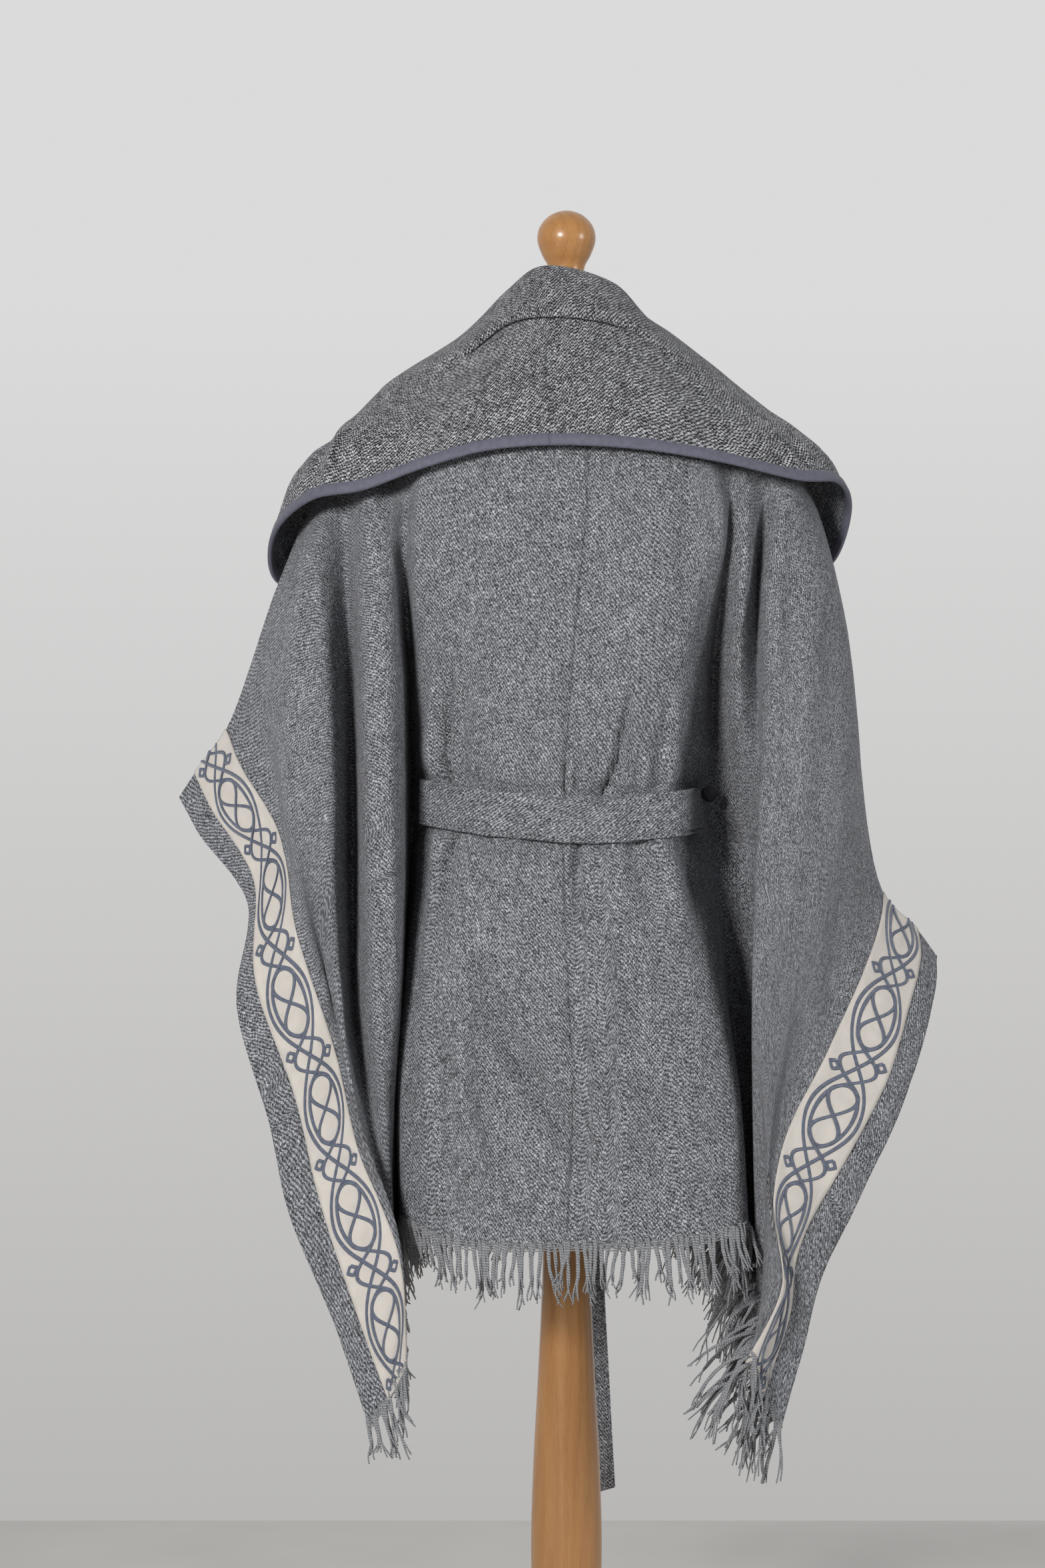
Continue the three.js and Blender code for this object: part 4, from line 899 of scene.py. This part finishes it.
hood_mid, hood_normals = hood_grid()
HOOD_CUT = {"left": slice(HOOD_CENTRE, None, -1), "right": slice(HOOD_CENTRE, None)}


def hood_half(side):
    grid, normals = hood_mid[:, HOOD_CUT[side]], hood_normals[:, HOOD_CUT[side]]
    rows, cols = grid.shape[:2]
    across = arc(grid, 1).mean(0)[None, :].repeat(rows, 0) * (-1 if side == "right" else 1)
    return shell(f"hood_cloth_{side}", grid, normals, grid_faces(rows, cols),
                 np.stack([across, arc(grid, 0)], -1), [wool_hood[side], wool_reverse])


def binding_piece(side):
    """The bias tape, folded over the hood's edge, with rounded sides."""
    cut = HOOD_CUT[side]
    edge, normal = hood_mid[-1, cut], hood_normals[-1, cut]
    back = unit(hood_mid[-4, cut] - edge)
    along = run_of(edge)
    ripple = 0.35 * waves(along, along * 0, 14, 31)
    near, far, reach = CLOTH / 2 + 0.35, CLOTH / 2 + 0.35 + BINDING_THICK, BINDING_REACH
    section = [(reach, near - 0.2), (reach + 0.1, far - 0.5), (reach - 0.6, far),
               (5.0, far + 0.15), (1.0, far), (-0.6, far - 0.5), (-1.1, 0.0), (-0.6, -far + 0.5),
               (1.0, -far), (5.0, -far - 0.1), (reach - 0.6, -far), (reach + 0.1, -far + 0.5),
               (reach, -near + 0.2), (4.0, -near), (0.0, -0.6), (0.0, 0.6), (4.0, near)]
    rings = np.stack([edge + back * (a + (ripple[:, None] if a > 8 else 0)) + normal * o
                      for a, o in section], 1)
    return rings_mesh(f"binding_{side}", rings, tape)


hood = {side: hood_half(side) for side in SIDES}
bindings = {side: binding_piece(side) for side in SIDES}


# ---- the belt --------------------------------------------------------------------------------
def column_at(panel, column, height):
    """The point and the level normal at one height on a column of a panel."""
    count = panel["base"].shape[0]
    z = pick(panel["base"], np.arange(count) * 1.0, np.full(count, float(column)))[:, 2]
    at = np.array([np.interp(-height, -z, np.arange(count))]), np.array([float(column)])
    point, normal = (pick(panel[key], *at)[0] for key in ("base", "normals"))
    normal[2] = 0
    return point, unit(normal)


def belt_places(face, side="right"):
    """Stations along one stretch: the belt's inner face, the way out of it and its height."""
    reach = BELT_FOLDS[face] * PER_FOLD
    spans = [(side, j) for j in np.arange(0, reach + 0.1, 1.25)]
    if face == "back":
        spans = [("left", j) for j in np.arange(reach, 0, -1.25)] + spans
    stations = []
    for side, column in spans:
        height = BELT_MIDDLE + BELT_RISE[side] * (column / reach) ** 2
        panel = panels[f"{face}_{side}"]
        if face == "back":
            height = float(belt_line(column_at(panel, column, height)[0][0]))
        point, normal = column_at(panel, column, height)
        proud = max((column_at(panel, column, height + k * BELT_WIDTH / 2)[0] - point) @ normal
                    for k in (-1, -0.5, 0, 0.5, 1))
        stations.append((point + normal * (proud + CLOTH / 2 + BELT_SLACK[face]), normal, height))
    base, normal, height = (np.array(values) for values in zip(*stations))
    for _ in range(3):                       # the belt is stiffer than the cloth, so it runs smoothly
        base[1:-1] = (base[:-2] + 2 * base[1:-1] + base[2:]) / 4
        normal[1:-1] = unit(normal[:-2] + 2 * normal[1:-1] + normal[2:])
    return base, normal, height


def belt_section():
    """(up, out) round the belt: rounded edges, and the sunk line of stitches near the lower one."""
    half, thick = BELT_WIDTH / 2, BELT_THICK
    outer = [(-half + 0.3, 0.62), (-half + 1.3, 0.95), (-half + 2.8, 0.98), (-half + 3.9, 0.52),
             (-half + 5.2, 1.0)]
    outer += [(up, 1.0 + 0.05 * math.cos(up * 0.15)) for up in np.linspace(-half + 8, half - 4, 8)]
    outer += [(half - 1.6, 0.97), (half - 0.3, 0.66), (half, 0.3)]
    inner = [(half - 1.0, 0.05), (0.0, 0.0), (-half + 1.0, 0.05), (-half, thick * 0.3)]
    return [(up, thick * out) for up, out in outer] + inner


def belt_piece(name, face, side="right"):
    base, normal, height = belt_places(face, side)
    along = run_of(base)
    fine = np.linspace(0, along[-1], int(along[-1] / 2.2))
    base, normal = between(base, along, fine), between(normal, along, fine)
    height = np.interp(fine, along, height)
    wander = 0.8 * waves(fine, fine * 0, 40, 43)
    rings, uv = [], []
    for up, out in belt_section():
        relief = np.full_like(fine, out)
        if out > 1.5:                        # the outer face swells, and puckers at its stitches
            relief += 0.25 * waves(fine, fine * 0 + up * 1.5, 16, 41)
            relief += 0.28 * np.sin(fine * 2 * math.pi / 7.5 + 0.6 * up) * bell((up + 16.5) / 3.5)
        p = base + normal * relief[:, None]
        narrow = 0.26 * bell((p[:, 0] - 22) / 26) if up > 0 and face == "back" else 0
        p[:, 2] = height + up * (1 - narrow) + wander * (1 if abs(up) > 18 else 0.6)
        rings.append(p)
        uv.append(np.stack([fine, np.full_like(fine, up if out > 0.6 else -up)], -1))
    return rings_mesh(name, np.stack(rings, 1), wool_belt, np.stack(uv, 1))


def knot_piece():
    """The knot: a rounded block with the belt's wraps lying over one another."""
    c, s = np.cos(turns(64)), np.sin(turns(64))
    rings = []
    for level in np.linspace(-1, 1, 41):
        swell = math.sqrt(max(0.02, 1 - 0.55 * level ** 4 - 0.25 * level ** 12))
        wrap = 1.1 * np.sin((level * 25 + 14 * c) * 0.42) - 1.2
        x = (25 * swell + wrap) * np.sign(c) * np.abs(c) ** 0.75
        y = 123.0 + (12 * swell + wrap) * np.sign(s) * np.abs(s) ** 0.75
        rings.append(np.column_stack([x, y, np.full_like(x, BELT_MIDDLE + 24.6 * level)]))
    return rings_mesh("belt_knot_cloth", rings, wool_belt)


def tail_piece(name, points, slant):
    """A flat strap along its points, narrow at the knot and cut aslant at its end."""
    t = np.linspace(0, 1, 130)
    spine = catmull(np.array(points, float), t)
    across = np.tile([1.0, 0, 0], (len(spine), 1))
    out = unit(np.cross(across, unit(np.gradient(spine, axis=0))))
    width = np.minimum(1, 0.62 + 0.38 * t / 0.12)
    run = run_of(spine)
    rings, uv = [], []
    for side, depth in belt_section():
        curl = 0.9 * waves(run, run * 0 + side, 60, 51)
        p = spine + across * (side * width)[:, None] - out * (depth - BELT_THICK / 2 + curl)[:, None]
        p[:, 2] += side / (BELT_WIDTH / 2) * slant * smoothstep(0.93, 1.0, t)
        rings.append(p)
        uv.append(np.stack([run, np.full_like(run, side)], -1))
    return rings_mesh(name, np.stack(rings, 1), wool_belt, np.stack(uv, 1))


def button_piece():
    """The covered button, a low dome that leans on the belt's end."""
    base, normal, _ = belt_places("back")
    near = int(np.abs(base[:, 0] - 129).argmin())
    out = unit(normal[near] * 0.6 + np.array([0, -0.5, 0.04]))
    side = unit(np.cross(out, [0, 0, 1.0]))
    up = np.cross(side, out)
    centre = base[near] + normal[near] * (BELT_THICK + 0.6) + (3.4, -5.0, 0)
    centre[2] = 990.6
    profile = [(-2.5, 7.4), (0.0, 8.8), (0.9, 9.4), (2.0, 9.2), (3.2, 8.0), (4.2, 6.0), (4.9, 3.6),
               (5.2, 1.2)]                   # (out, radius)
    rings = [centre + out * d + np.outer(np.cos(turns(32)), side) * r
             + np.outer(np.sin(turns(32)), up) * r * 0.86 for d, r in profile]
    return rings_mesh("belt_button_cover", rings, button_cloth)


belt_back = belt_piece("belt_back_cloth", "back")
belt_front = {side: belt_piece(f"belt_front_{side}_cloth", "front", side) for side in SIDES}
knot = knot_piece()
tail_long = tail_piece("belt_tail_long_cloth", TAIL_LONG, 6)
tail_short = tail_piece("belt_tail_short_cloth", TAIL_SHORT, -6)
button = button_piece()


# ---- the bands and their embroidery -----------------------------------------------------------
def strip_of(side):
    """A length's outer part as one strip, from its back hem over the arm to its front hem."""
    back, front = panels["back_" + side], panels["front_" + side]
    return {key: np.vstack([back[key][::-1, NECK:], front[key][1:]]) for key in ("grid", "normals")}


BAND_INNER = (len(FRONT_LEFT) - 3) * PER_FOLD       # its columns in that strip
BAND_OUTER = BAND_INNER + PER_FOLD
BAND_HALF = 22.5       # half the band's width, as it was woven
UNIT = 104.0           # length of one repeat of the interlace
LOZENGE = [(4.6, 0), (0, 3.91), (-4.6, 0), (0, -3.91), (4.6, 0)]
EMBROIDERY_SECTION = [(-1.4, 0.0), (-1.05, 0.6), (0.0, 1.05), (1.05, 0.6), (1.4, 0.0)]


def band_piece(side, strip):
    grid, normals = (strip[key][:, BAND_INNER:BAND_OUTER + 1] for key in ("grid", "normals"))
    return shell(f"woven_band_{side}", grid, normals, grid_faces(*grid.shape[:2]),
                 np.stack([arc(grid, 1), arc(grid, 0)], -1), [ribbon, ribbon],
                 thick=BAND_THICK - 0.1, lift=CLOTH / 2 + SEAM + BAND_THICK / 2)


def interlace(length):
    """The interlace's strands: (s along the band, w across it, lift), in millimetres."""
    s = np.arange(6, length - 6, 1.6)
    turn = math.pi * s / UNIT
    strands = []
    for sign in (1, -1):
        strands.append((s, sign * 17.5 * np.sin(turn), 0.15 + sign * 0.4 * np.cos(turn)))
        strands.append((s, sign * 10.5 * np.cos(3 * turn) * (1 + 0.22 * np.cos(2 * turn)),
                        0.3 + sign * 0.4 * np.sin(3 * turn)))
    angle = np.linspace(0, 2 * math.pi, 90)
    lozenge = between(np.array(LOZENGE), np.arange(5), np.linspace(0, 4, 33))
    for k in range(int(length / UNIT) + 1):
        strands.append(((k + 0.5) * UNIT + 0.30 * UNIT * np.sin(angle), 12.5 * np.cos(angle),
                        0.2 + 0.35 * np.sin(5 * angle)))
        for sign in (1, -1):                        # the small lozenges beside each crossing
            strands.append((k * UNIT + sign * 9 + lozenge[:, 0], sign * 14.5 + lozenge[:, 1],
                            np.full(33, 0.25)))
    kept = []
    for strand in strands:                          # cut off at the band's ends
        inside = (strand[0] > 4) & (strand[0] < length - 4)
        cuts = np.flatnonzero(np.diff(inside.astype(int)) != 0) + 1
        for part in np.split(np.arange(len(inside)), cuts):
            if inside[part[0]] and len(part) > 8:
                kept.append(tuple(a[part] for a in strand))
    return kept


def embroidery_piece(side, strip):
    """The strands as low cords, laid on the band where its folds take it."""
    grid, normals = strip["grid"], strip["normals"]
    run = run_of(grid[:, (BAND_INNER + BAND_OUTER) // 2])
    base = CLOTH / 2 + SEAM + BAND_THICK
    verts, faces, outs, uvs = [], [], [], []
    start = 0
    for s, w, lift in interlace(run[-1]):
        ds, dw = np.gradient(s), np.gradient(w)
        size = np.maximum(np.hypot(ds, dw), 1e-6)
        rings, ways = [], []
        for a, b in EMBROIDERY_SECTION:
            row = np.interp(s - dw / size * a, run, np.arange(len(run)))
            col = BAND_INNER + ((w + ds / size * a) / BAND_HALF + 1) / 2 * PER_FOLD
            out = base + np.maximum(lift, -0.1) * (0.5 + b) + b - 0.1
            ways.append(pick(normals, row, col))
            rings.append(pick(grid, row, col) + ways[-1] * out[:, None])
        m, k = len(s), len(EMBROIDERY_SECTION)
        faces.append(ring_faces(m, k, start)[:, TURNED_OVER])
        verts.append(np.stack(rings, 1).reshape(-1, 3))
        outs.append(np.stack(ways, 1).reshape(-1, 3))
        along = run_of(np.column_stack([s, w]))
        uvs.append(np.stack([np.tile([a for a, _ in EMBROIDERY_SECTION], (m, 1)),
                             np.tile(along[:, None], (1, k))], -1).reshape(-1, 2))
        start += m * k
    verts, faces, outs = np.vstack(verts), np.vstack(faces), np.vstack(outs)
    top = faces[np.arange(len(faces)) % len(EMBROIDERY_SECTION) == 1]
    if facing(verts, top, outs) is not top:         # the cords' tops look away from the band
        faces = faces[:, ::-1]
    return make(f"embroidery_{side}", verts, faces, [embroidery], np.vstack(uvs))


strips = {side: strip_of(side) for side in SIDES}
bands = {side: band_piece(side, strips[side]) for side in SIDES}
embroideries = {side: embroidery_piece(side, strips[side]) for side in SIDES}

# ---- the fringe ----------------------------------------------------------------------------------
FRINGE_PITCH = 5.4
YARN_SIDES = 5
FRINGE_SEED = {"back_left": 3, "back_right": 4, "front_left": 5, "front_right": 6}
RUFFLE_FROM = {"back_right": 0.30, "front_right": 0.20}     # shares of the hem, from its inner end


def tube(path, radius, sides):
    """Rings round a path, each at its own radius."""
    tangent = unit(np.gradient(path, axis=0))
    helper = np.where(np.abs(tangent[:, [1]]) > 0.9, [[1.0, 0, 0]], [[0, 1.0, 0]])
    one = unit(np.cross(tangent, helper))
    two = np.cross(tangent, one)
    angles = turns(sides)
    return (path[:, None] + radius[:, None, None] * (np.cos(angles)[None, :, None] * one[:, None]
                                                     + np.sin(angles)[None, :, None] * two[:, None]))


class Yarns:
    """Gathers many tubes into one mesh."""

    def __init__(self):
        self.verts, self.faces, self.uvs, self.start = [], [], [], 0

    def add(self, line, radius, seed, sides=YARN_SIDES):
        rings = tube(line, radius, sides)
        m, k = rings.shape[:2]
        self.faces.extend(ring_faces(m, k, self.start)[:, TURNED_OVER].tolist())
        self.faces.append([self.start + c for c in range(k)])
        self.faces.append([self.start + (m - 1) * k + c for c in reversed(range(k))])
        self.uvs.append(np.stack([np.tile(np.arange(k) * 1.3 + seed * 7, (m, 1)),
                                  np.tile(run_of(line)[:, None], (1, k))], -1).reshape(-1, 2))
        self.verts.append(rings.reshape(-1, 3))
        self.start += m * k


def fringe_lean(name, share, rng):
    """How far the fringe swings sideways and out, by where it hangs along a hem."""
    if name == "back_right" and share > RUFFLE_FROM[name]:      # the ruffle at the folded hem
        return np.array([-25.0 + 32 * rng.uniform(-1, 1), -9.0 + 12 * rng.uniform(-1, 1), 0])
    if name == "front_right" and share > RUFFLE_FROM[name]:
        return np.array([-22.0 + 24 * rng.uniform(-1, 1), 2.0 + 6 * rng.uniform(-1, 1), 0])
    if name == "back_left" and share > 0.42:
        return np.array([6.0 + 9 * rng.uniform(-1, 1), 0.0, 0])
    return np.array([0.0, -1.5 if name.startswith("back") else 1.5, 0])


def fringe_piece(name):
    """Groups of two to four yarns that twist round one another, spaced unevenly along a hem."""
    grid, out = panels[name]["grid"], panels[name]["normals"][-1]
    rng = np.random.default_rng(FRINGE_SEED[name])
    behind = name.startswith("back")
    hem = grid[-1]
    hang = unit(hem - grid[-3])
    run = run_of(hem)
    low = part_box("fringe_" + name)[0][2] / MM + 1
    t = np.linspace(0, 1, 12)
    yarns = Yarns()
    place, group = 1.0, 0
    while place < run[-1] - 1:
        share = place / run[-1]
        ruffle = share > RUFFLE_FROM.get(name, 1)
        root, fall, face = (between(values, run, place) for values in (hem, hang, out))
        fall, face = unit(fall), unit(face)
        length = rng.uniform(36, 84 if ruffle else 58)
        sway = 5.5 * math.sin(place / 17 + 2 * math.sin(place / 41)) + rng.normal(0, 3.2)
        lean = fringe_lean(name, share, rng) * rng.uniform(0.5, 1.15) + (sway, rng.normal(0, 2.4), 0)
        bend = rng.uniform(-1, 1, 2) * (7.5 if ruffle else 5.0)
        phase = rng.uniform(0, 2 * math.pi)
        drop = np.maximum(length - 0.3 * abs(lean[0]), 24)
        first = rng.uniform(-9, -3)
        path = (root + face * (1.2 * (1 - t))[:, None] + np.outer(first + (7 - first) * t, fall)
                + np.outer(t ** (0.62 if ruffle else 1.2), lean)
                + np.outer(t ** (1.6 if ruffle else 1.05), [0, 0, -(drop - 7)]))
        path[:, 0] += bend[0] * np.sin(phase + 4.4 * t) * t
        path[:, 1] += bend[1] * np.sin(phase + 3.7 * t) * t
        twist = rng.uniform(4.0, 9.0)
        count = int(rng.choice([2, 3, 3, 4])) if behind else 2
        for k in range(count):
            angle = phase + 2 * math.pi * k / count + twist * t
            spread = 1.2 * (1 - 0.3 * np.sin(math.pi * t)) + rng.uniform(0.6, 5.0) * smoothstep(0.6, 1, t)
            offset = np.stack([np.cos(angle) * spread, np.sin(angle) * spread, 0 * t], 1)
            radius = 1.3 * (1 - 0.5 * t ** 2.4) * rng.uniform(0.8, 1.15)
            line = between(path + offset, t, np.linspace(0, rng.uniform(0.8, 1.0), 12))
            line[:, 2] = np.maximum(line[:, 2], low)
            yarns.add(line, radius, group)
        group += 1
        place += FRINGE_PITCH * rng.uniform(0.55, 1.45) * (0.42 if ruffle and behind else 1.0)
    # the last picks of the weave have come loose along the hem
    places = np.arange(0, run[-1], 2.2)
    row, face = between(hem, run, places), between(out, run, places)
    for k, up in enumerate((-1.6, 0.6, 2.4, 4.6)):
        line = row + face * (CLOTH / 2 + 0.2)
        line[:, 2] += up + 1.1 * waves(places, places * 0 + 30 * k, 7, 60 + k)
        yarns.add(line, np.full(len(line), 0.62), 90 + k, 4)
    return make(f"fringe_yarns_{name}", np.vstack(yarns.verts), yarns.faces, [yarn], np.vstack(yarns.uvs))


fringes = {name: fringe_piece(name) for name in panels}


# ---- the dress form ---------------------------------------------------------------------------
def lathe(name, profile, sides, material, smooth=0):
    """A turned solid. smooth is how many rings each leg of its profile is rounded into."""
    points = np.array([[r, 0, z] for r, z in profile], float)
    if smooth:
        points = catmull(points, steps((len(points) - 1) * smooth))
    c, s = np.cos(turns(sides)), np.sin(turns(sides))
    return rings_mesh(name, [np.column_stack([c * p[0], s * p[0], np.full(sides, p[2])])
                             for p in points], material)


def torso_piece():
    height, width, behind, before = np.array(TORSO, float).T
    at = np.linspace(0, 1, 110)
    widths = catmull(np.column_stack([width, width * 0, height]), at)
    depths = catmull(np.column_stack([behind, before, height]), at)
    c, s = np.cos(turns(96)), np.sin(turns(96))
    shrink = 0.4                                # in from the table's sizes
    return rings_mesh("form_body", [
        np.column_stack([c * (a[0] - shrink), s * (np.where(s < 0, b[0], b[1]) - shrink),
                         np.full_like(c, a[2])]) for a, b in zip(widths, depths)], jersey)


form_body = torso_piece()
low, high = (corner[2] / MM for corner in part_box("form_neck_cap"))
form_cap = lathe("form_cap_turned", [(44, low), (45.6, low + 1), (46, low + 3), (46, high - 4),
                                     (44.6, high - 1.4), (41, high)], 96, wood)
form_knob = lathe("form_knob_turned", KNOB, 96, wood, 8)
form_pole = lathe("form_pole_turned", POLE, 96, wood_shaded_stand, 8)
form_base = lathe("form_base_turned", BASE, 128, wood_shaded_stand)

# ---- what each piece is: its slot, and the nodes that it stands for ------------------------------
pieces = [
    (belt_back, "wool_belt", ["belt_back"]), (knot, "wool_belt", ["belt_knot"]),
    (tail_long, "wool_belt", ["belt_tail_long"]), (tail_short, "wool_belt", ["belt_tail_short"]),
    (button, "button_cloth", ["belt_button"]), (form_body, "jersey", ["form_torso"]),
    (form_cap, "varnished_wood", ["form_neck_cap"]), (form_knob, "varnished_wood", ["form_knob"]),
    (form_pole, "varnished_wood", ["form_pole"]), (form_base, "varnished_wood", ["form_base"]),
]
for side in SIDES:
    pieces += [
        (lengths[side], "wool", ["cape_back_" + side, "cape_front_" + side]),
        (hood[side], "wool", ["hood_" + side]), (bindings[side], "tape", ["hood_binding_" + side]),
        (bands[side], "ribbon", ["band_back_" + side, "band_front_" + side]),
        (embroideries[side], "ribbon", []), (belt_front[side], "wool_belt", ["belt_front_" + side]),
    ]
pieces += [(fringes[name], "wool", ["fringe_" + name]) for name in panels]
for piece, slot, nodes in pieces:
    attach(piece, "root")
    if nodes:
        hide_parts(*nodes)

# ---- floor, light and camera ------------------------------------------------------------------------
# (y, z): level under the object, and falling away behind the photograph's lower edge
FLOOR = [(-2600, -0.5), (1080, -0.5), (1180, -2), (1300, -16), (1420, -42), (1560, -78), (3200, -500)]
FLOOR_HALF = 3000
n = Material("studio_floor")
tone = n.patches(n.join(*n.uv()), 0.004, 2.0, 0.97, 1.03)
floor_material = n.finish(n.shaded((0.56, 0.55, 0.53), tone), 0.85, Specular_IOR_Level=0.2)
make("studio_ground", [(x, y, z) for y, z in FLOOR for x in (-FLOOR_HALF, FLOOR_HALF)],
              grid_faces(len(FLOOR), 2)[:, ::-1], [floor_material],
              [(x + FLOOR_HALF, y + 2600) for y, z in FLOOR for x in (-FLOOR_HALF, FLOOR_HALF)])

world = bpy.context.scene.world = bpy.data.worlds.new("studio")
n = Nodes(world)
_, along, up = n.split(n.node("ShaderNodeTexCoord", output="Generated"), scale=1.0)
background = n.tree.nodes["Background"]
n.put(n.mix(n.span(up, -0.24, 0.15, 0.0, 1.0), (0.47, 0.465, 0.455), (0.71, 0.705, 0.705)),
      background.inputs[0])
# the studio is darker on the camera's side
n.put(n.span(along, -0.25, 0.55, 0.20, 1.0), background.inputs[1])


def area_light(name, place, target, size, power, colour=(1, 1, 1)):
    data = bpy.data.lights.new(name, "AREA")
    data.shape = "RECTANGLE"
    data.size, data.size_y = size
    data.energy = power
    data.color = colour
    light = bpy.data.objects.new(name, data)
    bpy.context.scene.collection.objects.link(light)
    light.location = place
    way = unit(np.array(target, float) - np.array(place, float))
    light.rotation_euler = (math.acos(-way[2]), 0, math.atan2(way[1], way[0]) - math.pi / 2)
    return light


area_light("key_light", (-1.3, -2.85, 1.75), (0, 0, 1.0), (0.6, 0.6), 86, (1.0, 0.985, 0.97))
area_light("side_light", (2.8, -1.6, 1.5), (0, 0, 0.95), (0.8, 1.0), 32)
rear = area_light("rear_light", (0.6, 2.8, 2.6), (0, 0, 1.0), (2.0, 1.6), 26)
rear.visible_glossy = False

PHOTO_HEIGHT = 2352                             # pixels
FOCAL_LENGTH = 4687                             # pixels, from the distance of 3 m and the scale
camera_data = bpy.data.cameras.new("photo_camera")
camera_data.sensor_fit = "VERTICAL"
camera_data.sensor_height = 36.0
camera_data.lens = 36.0 * FOCAL_LENGTH / PHOTO_HEIGHT
camera_data.clip_end = 60
camera = bpy.data.objects.new("photo_camera", camera_data)
bpy.context.scene.collection.objects.link(camera)
camera.location = (-0.0422, -3.0, 1.0)
camera.rotation_euler = (math.pi / 2, 0, 0)
bpy.context.scene.camera = camera
bpy.context.scene.view_settings.view_transform = "Standard"
